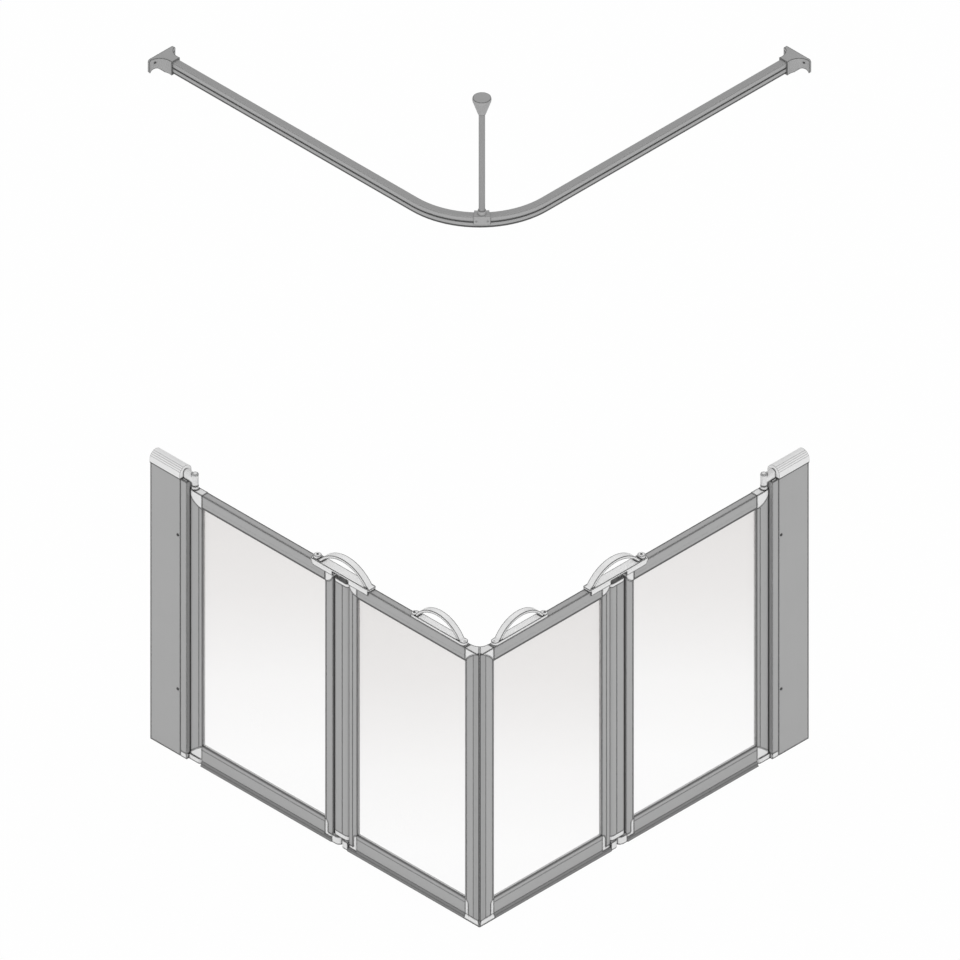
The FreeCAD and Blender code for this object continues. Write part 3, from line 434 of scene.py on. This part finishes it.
@dataclass(frozen=True)
class DrawnAluminium:
    """Satin anodised extrusion: fine lines along its run, dark edges, painted crevice shade, at will bands
    and painted shade on the reveal faces that look one way.
    """

    name: str
    level: float
    run: Run
    line_level: float = 72.0
    streak: float = 6.0
    edge: float = 4.5 * MM
    edge_gain: float = 30.0
    crevice_shade_gain: float = 1.8
    bands: tuple[Band, ...] = ()
    shaded_facing: Triple | None = None
    shaded_facing_level: float = 132.0
    streak_share: float = 0.7
    cloud_cells: float = 9.0
    metal: float = 0.3
    roughness: float = 0.36
    roughness_spread: float = 0.22
    relief: float = 0.05 * MM
    relief_strength: float = 0.25

    def material(self) -> bpy.types.Material:
        """Make the material.

        Returns:
            The finished material.
        """
        graph = Graph.for_material(f"{self.name}_{self.run.name.lower()}")
        streaks = graph.noise(self.run.value, FINE_NOISE)
        cloud = graph.noise(even(self.cloud_cells), PLAIN_NOISE)
        shade = (streaks * self.streak_share + cloud * (1 - self.streak_share)).clamped()
        body = graph.mix(shade, grey(self.level - self.streak), grey(self.level + self.streak))
        # Painted shade: faces that look the given way are darker.
        if self.shaded_facing is not None:
            body = graph.mix(graph.facing(self.shaded_facing), body, grey(self.shaded_facing_level))
        # Dark edge lines, joined with painted shade in joints and gaps between pieces.
        line = graph.edge_line(self.edge, self.edge_gain).larger(graph.painted_crevice_shade(self.edge, self.crevice_shade_gain))
        colour = graph.banded(graph.mix(line, body, grey(self.line_level)), self.bands)
        return graph.surface(
            Base_Color=colour, Metallic=self.metal,
            Roughness=self.roughness + self.roughness_spread * streaks,
            Normal=graph.bump(streaks, self.relief, self.relief_strength))


@dataclass(frozen=True)
class Moulding:
    """Moulded plastic: fine spark texture, dark edges, painted crevice shade, at will bands and painted light
    on level tops.
    """

    name: str
    level: float
    line_level: float
    edge: float = 4.0 * MM
    edge_gain: float = 32.0
    crevice_shade_gain: float = 1.8
    bands: tuple[Band, ...] = ()
    lit_top_level: float | None = None
    flow_cells: float = 22.0
    flow_dark: float = 6.0
    flow_pale: float = 4.0
    spark_cells: float = 1400.0
    specular: float = 0.2
    roughness: float = 0.34
    roughness_spread: float = 0.16
    relief: float = 0.08 * MM
    relief_strength: float = 0.3

    def material(self) -> bpy.types.Material:
        """Make the material.

        Returns:
            The finished material.
        """
        graph = Graph.for_material(self.name)
        spark = graph.noise(even(self.spark_cells), PLAIN_NOISE)
        flow = graph.noise(even(self.flow_cells), FINE_NOISE)
        body = graph.mix(flow, grey(self.level - self.flow_dark), grey(self.level + self.flow_pale))
        # Painted light: faces that look up are paler.
        if self.lit_top_level is not None:
            body = graph.mix(graph.facing(UP), body, grey(self.lit_top_level))
        # Dark edge lines, joined with painted shade in joints and gaps between pieces.
        line = graph.edge_line(self.edge, self.edge_gain).larger(graph.painted_crevice_shade(self.edge, self.crevice_shade_gain))
        colour = graph.banded(graph.mix(line, body, grey(self.line_level)), self.bands)
        return graph.surface(
            Base_Color=colour, Specular_IOR_Level=self.specular,
            Roughness=self.roughness + self.roughness_spread * spark,
            Normal=graph.bump(spark, self.relief, self.relief_strength))


@dataclass(frozen=True)
class SafetyGlass:
    """Clear pane with a painted warm grey reflection that thins towards its lower corner."""

    side: Side
    name: str
    high: float
    reach: float
    lean: float = 0.5
    veil: Colour = tint(188, 180, 176)
    stops: tuple[tuple[float, float], ...] = ((0.0, 0.25), (0.35, 0.18), (0.7, 0.07), (1.0, 0.02))
    cloud_cells: float = 3.0
    cloud_gain: float = 1.06
    specular: float = 0.3
    roughness: float = 0.04
    roughness_spread: float = 0.04

    def material(self, start: float) -> bpy.types.Material:
        """Make the material.

        Args:
            start: Place of the pane's upper corner along the screen, in metres.

        Returns:
            The finished material.
        """
        graph = Graph.for_material(self.name)
        out_x, out_y, _ = self.side.out
        fall = graph.along((self.lean * out_x, self.lean * out_y, -1.0))
        share = ((fall + (self.high - self.lean * start)) * (1 / self.reach)).clamped()
        # Painted reflection: the grey film shows most at the pane's top and fades towards its lower corner.
        ramp = graph.node("ShaderNodeValToRGB", {"stops": list(self.stops)}, {"Fac": share})
        cloud = graph.noise(even(self.cloud_cells), SOFT_NOISE)
        film = graph.mix(cloud, self.veil, tuple(c * self.cloud_gain for c in self.veil))
        return graph.surface(
            Base_Color=film, Alpha=ramp, Specular_IOR_Level=self.specular,
            Roughness=self.roughness + self.roughness_spread * cloud)


@dataclass(frozen=True)
class SealRubber:
    """Soft extruded seal, matt, with drawn lines along its run and at will painted shade on its nose along
    the free corner.
    """

    name: str
    level: float
    run: Run
    line_level: float = 84.0
    notch_shade_reach: float = 0.0
    notch_shade_start: float = 0.0
    notch_shade_level: float = 18.0
    notch_shade_fade: float = 1.0 * MM
    mottle: float = 8.0
    edge: float = 3.0 * MM
    edge_gain: float = 8.0
    dust_cells: float = 60.0
    specular: float = 0.5
    roughness: float = 0.62
    roughness_spread: float = 0.18
    relief: float = 0.08 * MM
    relief_strength: float = 0.3

    def material(self) -> bpy.types.Material:
        """Make the material.

        Returns:
            The finished material.
        """
        graph = Graph.for_material(f"{self.name}_{self.run.name.lower()}")
        lines = graph.noise(self.run.value, PLAIN_NOISE)
        dust = graph.noise(even(self.dust_cells), FINE_NOISE)
        shade = ((lines + dust) * 0.5).clamped()
        body = graph.mix(shade, grey(self.level - self.mottle), grey(self.level + self.mottle))
        colour = graph.mix(graph.edge_line(self.edge, self.edge_gain), body, grey(self.line_level))
        # Painted shade: the notch where the two corner seals meet is dark near the nose.
        if self.notch_shade_reach > 0:
            off = graph.along((1.0, 1.0, 0.0)).size()
            out = graph.along((1.0, -1.0, 0.0)) - self.notch_shade_start
            band = ((self.notch_shade_reach - off) * (1 / self.notch_shade_fade)).clamped()
            nose = (out * (1 / self.notch_shade_fade)).clamped()
            colour = graph.mix(band * nose, colour, grey(self.notch_shade_level))
        return graph.surface(
            Base_Color=colour, Specular_IOR_Level=self.specular,
            Roughness=self.roughness + self.roughness_spread * dust,
            Normal=graph.bump(lines, self.relief, self.relief_strength))


@dataclass(frozen=True)
class TurnedSteel:
    """Bright or blackened steel of pins and screws, with turning marks."""

    name: str
    level: float
    metal: float = 0.8
    mottle: float = 10.0
    mark_cells: Triple = (300.0, 300.0, 2500.0)
    roughness: float = 0.28
    roughness_spread: float = 0.2
    relief: float = 0.03 * MM
    relief_strength: float = 0.3

    def material(self) -> bpy.types.Material:
        """Make the material.

        Returns:
            The finished material.
        """
        graph = Graph.for_material(self.name)
        marks = graph.noise(self.mark_cells, PLAIN_NOISE)
        colour = graph.mix(marks, grey(self.level - self.mottle), grey(self.level + self.mottle))
        return graph.surface(
            Base_Color=colour, Metallic=self.metal,
            Roughness=self.roughness + self.roughness_spread * marks,
            Normal=graph.bump(marks, self.relief, self.relief_strength))


class Palette:
    """Materials of the whole object, made once."""

    UNDERSIDE_SHADE_HEIGHT: float = 7.0 * MM
    LEDGE_DEPTH: float = 0.8 * MM
    RAIL_UNDER_SHADE: float = 7.0 * MM
    RAIL_TOP_SHADE: float = 1.0 * MM
    CAP_JOINT: float = 3.0 * MM
    NOSE_DEPTH: float = 2.0 * MM

    frame: bpy.types.Material
    stile: dict[Side, bpy.types.Material]
    top_rail: dict[Side, bpy.types.Material]
    bottom_rail: dict[Side, bpy.types.Material]
    rail: bpy.types.Material
    rod: bpy.types.Material
    rail_moulding: bpy.types.Material
    saddle: bpy.types.Material
    pale: bpy.types.Material
    handle: bpy.types.Material
    cap: bpy.types.Material
    seal: dict[Side, bpy.types.Material]
    gasket: bpy.types.Material
    magnet: bpy.types.Material

    def __init__(self) -> None:
        """Make every shared material."""
        self._make_frames()
        self._make_rail_set()
        self._make_mouldings()
        self._make_seals()
        self.pin = TurnedSteel("pin_steel", level=150).material()
        self.dark_screw = TurnedSteel("black_screw", level=52, metal=0.3).material()
        self.pale_screw = TurnedSteel("bright_screw", level=196, metal=0.4).material()
        self.grey_screw = TurnedSteel("grey_screw", level=146, metal=0.3).material()

    def _make_frames(self) -> None:
        """Make the aluminium of posts and leaves; the stiles take painted shade on faces that look towards
        the free corner, the top rails a dark line with painted shade along their lower edge beside the glass,
        and the bottom rails a dark line beside the glass.
        """
        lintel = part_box("left_outer_top_rail")[0].z
        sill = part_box("left_outer_bottom_rail")[1].z
        # Painted shade: a dark stripe along the top rail's lower edge, over the glass.
        underside_shade = Band(low=lintel - OVERRUN, high=lintel + self.UNDERSIDE_SHADE_HEIGHT, level=90)
        ledge = Band(low=sill - self.LEDGE_DEPTH, high=sill + OVERRUN, level=96)
        self.frame = DrawnAluminium("frame_aluminium", FRAME_LEVEL, Run.UPRIGHT).material()
        self.stile = {}
        self.top_rail = {}
        self.bottom_rail = {}
        for side in Side:
            stile = DrawnAluminium(side.node("stile_aluminium"), FRAME_LEVEL, Run.UPRIGHT, shaded_facing=side.out)
            top = DrawnAluminium(
                "top_rail_aluminium", FRAME_LEVEL, side.rail_run,
                line_level=44.0, edge=6.0 * MM, bands=(underside_shade,))
            bottom = DrawnAluminium(
                "bottom_rail_aluminium", FRAME_LEVEL, side.rail_run,
                line_level=110.0, crevice_shade_gain=0.8, bands=(ledge,))
            self.stile[side] = stile.material()
            self.top_rail[side] = top.material()
            self.bottom_rail[side] = bottom.material()

    def _make_rail_set(self) -> None:
        """Make the finishes of the curtain rail, with painted shade below and on top, and of what holds it.
        """
        under, over = (corner.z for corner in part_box("curtain_rail"))
        # Painted shade: a dark stripe along the rail's underside and a slightly darker strip on its top.
        below = Band(low=under - OVERRUN, high=under + self.RAIL_UNDER_SHADE, level=74)
        above = Band(low=over - self.RAIL_TOP_SHADE, high=over + OVERRUN, level=150)
        self.rail = DrawnAluminium(
            "rail_aluminium", level=164, run=Run.ROUND, crevice_shade_gain=1.1, bands=(below, above)).material()
        self.rod = DrawnAluminium("rod_aluminium", level=152, run=Run.UPRIGHT).material()
        self.rail_moulding = Moulding("rail_moulding", level=162, line_level=84).material()
        self.saddle = Moulding(
            "saddle_moulding", level=164, line_level=128, edge=3.0 * MM, edge_gain=12.0).material()

    def _make_mouldings(self) -> None:
        """Make the pale plastics; the cap has a dark joint where it meets the post."""
        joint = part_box("left_wall_post")[1].z + self.CAP_JOINT
        foot = Band(low=0.0, high=joint, level=70)
        self.pale = Moulding(
            "pale_moulding", PALE_LEVEL, line_level=30, edge=6.5 * MM, edge_gain=36.0).material()
        self.handle = Moulding(
            "handle_moulding", PALE_LEVEL, line_level=30, edge=4.5 * MM, edge_gain=36.0,
            lit_top_level=244).material()
        self.cap = Moulding(
            "cap_moulding", PALE_LEVEL, line_level=120, edge=2.5 * MM, edge_gain=8.0,
            bands=(foot,)).material()

    def _make_seals(self) -> None:
        """Make the soft pieces; x - y is largest at the free corner, where the magnet seal's nose has painted
        shade in the notch at the corner.
        """
        nose = 2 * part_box("left_corner_seal")[1].x - self.NOSE_DEPTH
        self.seal = {side: SealRubber("floor_seal", level=124, run=side.rail_run).material() for side in Side}
        self.gasket = SealRubber("glazing_bead", level=246, run=Run.ROUND, line_level=244.0).material()
        self.magnet = SealRubber(
            "corner_magnet_seal", level=160, run=Run.UPRIGHT, line_level=96.0,
            notch_shade_reach=4.2 * MM, notch_shade_start=nose, specular=0.1).material()


def dress(node: str, material: bpy.types.Material) -> None:
    """Give a CAD node its finish.

    Args:
        node: Name of the node.
        material: Finish for all its faces.
    """
    for slot in bpy.data.objects[node].material_slots:
        slot.material = material
    LOG.info("dressed %s with %s", node, material.name)


@dataclass(frozen=True)
class CrossScrew:
    """Pan-head screw with a cross recess."""

    radius: float = 3.4 * MM
    height: float = 1.5 * MM
    recess: float = 1.0 * MM
    arm_share: float = 0.58
    slot_share: float = 0.13
    profile: tuple[tuple[float, float], ...] = (
        (1.0, 0.0), (1.0, 0.3), (0.96, 0.55), (0.86, 0.82), (0.72, 1.0))
    facets: int = 32

    def _ring(self, mesh: bmesh.types.BMesh, share: float, height: float) -> list[bmesh.types.BMVert]:
        """Circle of points.

        Args:
            mesh: Mesh that takes the points.
            share: Radius as a share of the head's.
            height: Height above the seat, in metres.

        Returns:
            The points in order.
        """
        turns = [2 * math.pi * step / self.facets for step in range(self.facets)]
        reach = self.radius * share
        return [mesh.verts.new((reach * math.cos(t), reach * math.sin(t), height)) for t in turns]

    def _cross(self, mesh: bmesh.types.BMesh, height: float) -> list[bmesh.types.BMVert]:
        """Outline of the recess.

        Args:
            mesh: Mesh that takes the points.
            height: Height above the seat, in metres.

        Returns:
            Twelve points in order.
        """
        arm = self.radius * self.arm_share
        half = self.radius * self.slot_share
        points = []
        for quarter in range(4):
            turn = Matrix.Rotation(quarter * math.pi / 2, 2)
            for corner in ((arm, -half), (arm, half), (half, half)):
                points.append(turn @ Vector(corner))
        return [mesh.verts.new((p.x, p.y, height)) for p in points]

    @staticmethod
    def _wall(mesh: bmesh.types.BMesh, low: list[bmesh.types.BMVert], high: list[bmesh.types.BMVert]) -> None:
        """Faces between two loops of equal length."""
        count = len(low)
        for step in range(count):
            after = (step + 1) % count
            mesh.faces.new((low[step], low[after], high[after], high[step]))

    def build(self, name: str, place: Vector, material: bpy.types.Material, body: str,
              facing: Vector = Vector(UP)) -> None:
        """Make one screw on its seat.

        Args:
            name: Name of the piece.
            place: Middle of the seat, in metres.
            material: Finish of the screw.
            body: CAD body that it moves with.
            facing: Direction of the head.
        """
        mesh = bmesh.new()
        rings = [self._ring(mesh, share, self.height * rise) for share, rise in self.profile]
        for low, high in zip(rings, rings[1:]):
            self._wall(mesh, low, high)
        mesh.faces.new(list(reversed(rings[0])))
        mouth = self._cross(mesh, self.height)
        floor = self._cross(mesh, self.height - self.recess)
        self._wall(mesh, mouth, floor)
        mesh.faces.new(floor)
        rim = [mesh.edges.get((a, b)) for a, b in zip(rings[-1], rings[-1][1:] + rings[-1][:1])]
        slot = [mesh.edges.get((a, b)) for a, b in zip(mouth, mouth[1:] + mouth[:1])]
        bmesh.ops.triangle_fill(mesh, use_beauty=True, edges=rim + slot)
        bmesh.ops.recalc_face_normals(mesh, faces=mesh.faces)
        data = bpy.data.meshes.new(name)
        mesh.to_mesh(data)
        mesh.free()
        data.materials.append(material)
        piece = bpy.data.objects.new(name, data)
        piece.location = place
        piece.rotation_mode = "QUATERNION"
        piece.rotation_quaternion = facing.to_track_quat("Z", "Y")
        bpy.context.scene.collection.objects.link(piece)
        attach(piece, body)
        LOG.info("built %s on %s", name, body)


@dataclass(frozen=True)
class WallPost:
    """Wall post with its channel, cap, screws and pivot brackets."""

    side: Side
    palette: Palette

    def dress(self) -> None:
        """Give the post's nodes their finishes."""
        for name in ("wall_channel", "wall_post"):
            dress(self.side.node(name), self.palette.frame)
        dress(self.side.node("post_cap"), self.palette.cap)
        dress(self.side.node("pivot_brackets"), self.palette.pale)
        dress(self.side.node("post_screws"), self.palette.dark_screw)


@dataclass(frozen=True)
class DoorLeaf:
    """What the two leaves of a side share: a glazed frame between two stiles."""

    side: Side
    palette: Palette
    leaf: str
    stiles: tuple[str, str]
    veil_reach: float = 0.80

    @property
    def body(self) -> str:
        """CAD body of this leaf."""
        return self.side.node(f"{self.leaf}_leaf")

    def node(self, name: str) -> str:
        """Name of one of this leaf's CAD nodes."""
        return self.side.node(f"{self.leaf}_{name}")

    def dress(self) -> None:
        """Give the leaf's frame, glass and seals their finishes."""
        for stile in self.stiles:
            dress(self.node(stile), self.palette.stile[self.side])
        dress(self.node("top_rail"), self.palette.top_rail[self.side])
        dress(self.node("bottom_rail"), self.palette.bottom_rail[self.side])
        dress(self.node("corners"), self.palette.pale)
        dress(self.node("gasket"), self.palette.gasket)
        dress(self.node("seal"), self.palette.seal[self.side])
        low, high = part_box(self.node("glass"))
        start = low.x if self.side is Side.LEFT else -high.y
        pane = SafetyGlass(self.side, self.node("veil"), high.z, self.veil_reach)
        dress(self.node("glass"), pane.material(start))

    def rail_point(self, handle: str, from_wall: bool, inset: float, rise: float) -> Vector:
        """Place of a handle screw on the rail's middle line.

        Args:
            handle: Left side's handle node.
            from_wall: True for the end towards the wall.
            inset: Distance from the handle's end, in metres.
            rise: Height above the top rail, in metres.

        Returns:
            The place on this leaf's side.
        """
        low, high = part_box(handle)
        rail_low, rail_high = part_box(Side.LEFT.node(f"{self.leaf}_top_rail"))
        along = low.x + inset if from_wall else high.x - inset
        return self.side.turned(Vector((along, (rail_low.y + rail_high.y) / 2, rail_high.z + rise)))


@dataclass(frozen=True)
class OuterLeaf(DoorLeaf):
    """Leaf on the wall pivot, with the large handle over the fold."""

    screw_inset: float = 13.0 * MM
    base_height: float = 16.0 * MM

    def build(self) -> None:
        """Dress the leaf and its handle, and add the handle's screw."""
        self.dress()
        dress(self.side.node("fold_handle"), self.palette.handle)
        place = self.rail_point("left_fold_handle", True, self.screw_inset, self.base_height)
        CrossScrew().build(self.side.node("fold_handle_screw"), place, self.palette.dark_screw, self.body)


@dataclass(frozen=True)
class FoldHinge:
    """Double-pinned post between the two leaves."""

    side: Side
    palette: Palette
    handle_shadow_depth: float = 0.6 * MM
    handle_shadow_level: float = 104.0

    def dress(self) -> None:
        """Give the hinge's nodes their finishes, with painted shadow of the handle on the top of the upper
        block.
        """
        blocks = self.side.node("fold_blocks")
        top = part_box(blocks)[1].z
        # Painted shadow: the upper block's top, under the handle, is dark.
        handle_shadow = Band(low=top - self.handle_shadow_depth, high=top + OVERRUN, level=self.handle_shadow_level)
        dress(self.side.node("fold_post"), self.palette.frame)
        dress(blocks, Moulding(f"{blocks}_moulding", PALE_LEVEL, line_level=60, bands=(handle_shadow,)).material())
        dress(self.side.node("fold_pins"), self.palette.pin)


@dataclass(frozen=True)
class InnerLeaf(DoorLeaf):
    """Leaf at the free corner, with the small handle and the corner seal."""

    screw_inset: float = 7.0 * MM
    base_height: float = 9.0 * MM

    def build(self) -> None:
        """Dress the leaf, its handle and its corner seal, and add the handle's screws."""
        self.dress()
        dress(self.side.node("pull_handle"), self.palette.handle)
        dress(self.side.node("corner_seal"), self.palette.magnet)
        finishes = ((True, self.palette.dark_screw), (False, self.palette.pale_screw))
        for from_wall, finish in finishes:
            name = "pull_handle_wall_screw" if from_wall else "pull_handle_corner_screw"
            place = self.rail_point("left_pull_handle", from_wall, self.screw_inset, self.base_height)
            CrossScrew().build(self.side.node(name), place, finish, self.body)


@dataclass(frozen=True)
class RailSet:
    """Curtain rail with its wall brackets, saddle, ceiling rod and cup."""

    palette: Palette
    bend: float = 234.0 * MM
    half_width: float = 11.0 * MM
    strap: float = 2.8 * MM
    screw_drop: float = 13.0 * MM
    screw_turn: float = 3.4
    saddle_head: float = 2.6 * MM
    bracket_head: float = 3.8 * MM
    flange: float = 6.0 * MM
    hole_reach: float = 34.0 * MM
    hole_drop: float = 8.75 * MM

    def build(self) -> None:
        """Dress the rail set and add its screws."""
        dress("curtain_rail", self.palette.rail)
        dress("ceiling_rod", self.palette.rod)
        dress("rod_saddle", self.palette.saddle)
        for name in ("rail_brackets", "ceiling_cup"):
            dress(name, self.palette.rail_moulding)
        self.saddle_screws()
        self.bracket_screws()

    def bracket_screws(self) -> None:
        """Put a wall screw in each hole of the bracket flanges."""
        rail_low, rail_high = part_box("curtain_rail")
        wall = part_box("rail_brackets")[0].x
        head = CrossScrew(radius=self.bracket_head)
        for side in Side:
            facing = Vector(side.out)
            for name, reach in (("outer", -self.hole_reach), ("inner", self.hole_reach)):
                across = rail_low.y + self.half_width + reach
                place = side.turned(Vector((wall + self.flange, across, rail_high.z - self.hole_drop)))
                head.build(side.node(f"bracket_{name}_screw"), place, self.palette.grey_screw, "root", facing)

    def saddle_screws(self) -> None:
        """Put two screws on the saddle's front."""
        low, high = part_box("curtain_rail")
        inset = self.half_width + self.bend
        centre = Vector((high.x - inset, low.y + inset, high.z - self.screw_drop))
        rod_low, rod_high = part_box("ceiling_rod")
        rod = (rod_low + rod_high) / 2 - centre
        head = CrossScrew(radius=self.saddle_head)
        for name, turn in (("saddle_left_screw", -1), ("saddle_right_screw", 1)):
            angle = math.atan2(rod.y, rod.x) + math.radians(turn * self.screw_turn)
            facing = Vector((math.cos(angle), math.sin(angle), 0.0))
            place = centre + facing * (self.bend + self.half_width + self.strap)
            head.build(name, place, self.palette.grey_screw, "root", facing)


@dataclass(frozen=True)
class Studio:
    """White floor, soft light and the drawing's isometric camera."""

    azimuth: float = 45.0
    elevation: float = math.degrees(math.atan(math.sqrt(0.5)))
    width: float = 2.458
    aim: tuple[float, float, float] = (0.0009, 0.0009, 0.8147)
    distance: float = 8.0
    clip_share: float = 4.0
    key_elevation: float = 18.0
    key_strength: float = 0.8
    key_spread: float = 50.0
    sky_dimming: float = 0.34
    floor_reach: float = 30.0
    floor_drop: float = 0.5 * MM
    floor_grey: float = 0.93
    floor_glow: float = 0.97

    def _back(self, elevation: float) -> Vector:
        """Unit direction from the object towards the camera's side.

        Args:
            elevation: Height above the horizon, in degrees.

        Returns:
            The direction.
        """
        turn = math.radians(self.azimuth)
        rise = math.radians(elevation)
        return Vector((math.sin(turn) * math.cos(rise), -math.cos(turn) * math.cos(rise), math.sin(rise)))

    @staticmethod
    def _seen(graph: Graph) -> Sock:
        """1 for rays that show the background: to the camera, in gloss and through glass."""
        rays = [graph.node("ShaderNodeLightPath", output=name)
                for name in ("Is Camera Ray", "Is Glossy Ray", "Is Transmission Ray")]
        return rays[0].larger(rays[1]).larger(rays[2])

    def floor(self) -> None:
        """Plain white floor that keeps a faint shadow."""
        data = bpy.data.meshes.new("studio_floor")
        edge = self.floor_reach
        low = -self.floor_drop
        corners = [(-edge, -edge, low), (edge, -edge, low), (edge, edge, low), (-edge, edge, low)]
        data.from_pydata(corners, [], [(0, 1, 2, 3)])
        graph = Graph.for_material("studio_white")
        shade = self.floor_grey
        matt = graph.node("ShaderNodeBsdfDiffuse", {}, {"Color": (shade, shade, shade, 1.0)})
        glow = graph.node("ShaderNodeEmission", {}, {"Color": WHITE, "Strength": 1.0})
        share = self._seen(graph) * self.floor_glow
        both = graph.node("ShaderNodeMixShader", {}, {0: share, 1: matt, 2: glow})
        graph.node("ShaderNodeOutputMaterial", {}, {"Surface": both})
        data.materials.append(graph.material)
        piece = bpy.data.objects.new("studio_floor", data)
        bpy.context.scene.collection.objects.link(piece)

    def light(self) -> None:
        """Even world light, a little weaker overhead, and one broad lamp from the camera's side."""
        world = bpy.data.worlds.new("studio_world")
        world.use_nodes = True
        world.node_tree.nodes.clear()
        bpy.context.scene.world = world
        graph = Graph(world.node_tree)
        way = graph.node("ShaderNodeTexCoord", output="Generated")
        rise = graph.node("ShaderNodeSeparateXYZ", {}, {0: way}, "Z")
        sky = 1.0 - self.sky_dimming * rise.clamped()
        strength = sky.larger(self._seen(graph))
        back = graph.node("ShaderNodeBackground", {}, {"Color": WHITE, "Strength": strength})
        graph.node("ShaderNodeOutputWorld", {}, {"Surface": back})
        lamp = bpy.data.lights.new("studio_key", "SUN")
        lamp.energy = self.key_strength
        lamp.angle = math.radians(self.key_spread)
        key = bpy.data.objects.new("studio_key", lamp)
        key.rotation_mode = "QUATERNION"
        key.rotation_quaternion = (-self._back(self.key_elevation)).to_track_quat("-Z", "Y")
        bpy.context.scene.collection.objects.link(key)

    def camera(self) -> None:
        """Parallel camera at the drawing's viewing angle."""
        data = bpy.data.cameras.new("drawing_camera")
        data.type = "ORTHO"
        data.ortho_scale = self.width
        data.clip_end = self.clip_share * self.distance
        eye = bpy.data.objects.new("drawing_camera", data)
        back = self._back(self.elevation)
        eye.location = Vector(self.aim) + back * self.distance
        eye.rotation_mode = "QUATERNION"
        eye.rotation_quaternion = (-back).to_track_quat("-Z", "Y")
        bpy.context.scene.collection.objects.link(eye)
        bpy.context.scene.camera = eye

    def build(self) -> None:
        """Set up floor, light, camera and view."""
        self.floor()
        self.light()
        self.camera()
        bpy.context.scene.view_settings.view_transform = "Standard"


def clear_start_scene() -> None:
    """Take away the objects of Blender's start file."""
    for shown in list(bpy.data.objects):
        bpy.data.objects.remove(shown)


def main() -> None:
    """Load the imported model, dress it piece by piece and set up the studio."""
    logging.basicConfig(level=logging.INFO, format="%(name)s: %(message)s")
    clear_start_scene()
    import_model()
    palette = Palette()
    Studio().build()
    for side in Side:
        WallPost(side, palette).dress()
        OuterLeaf(side, palette, "outer", ("hinge_stile", "fold_stile")).build()
        FoldHinge(side, palette).dress()
        InnerLeaf(side, palette, "inner", ("fold_stile", "corner_stile")).build()
    RailSet(palette).build()


if __name__ == "__main__":
    main()
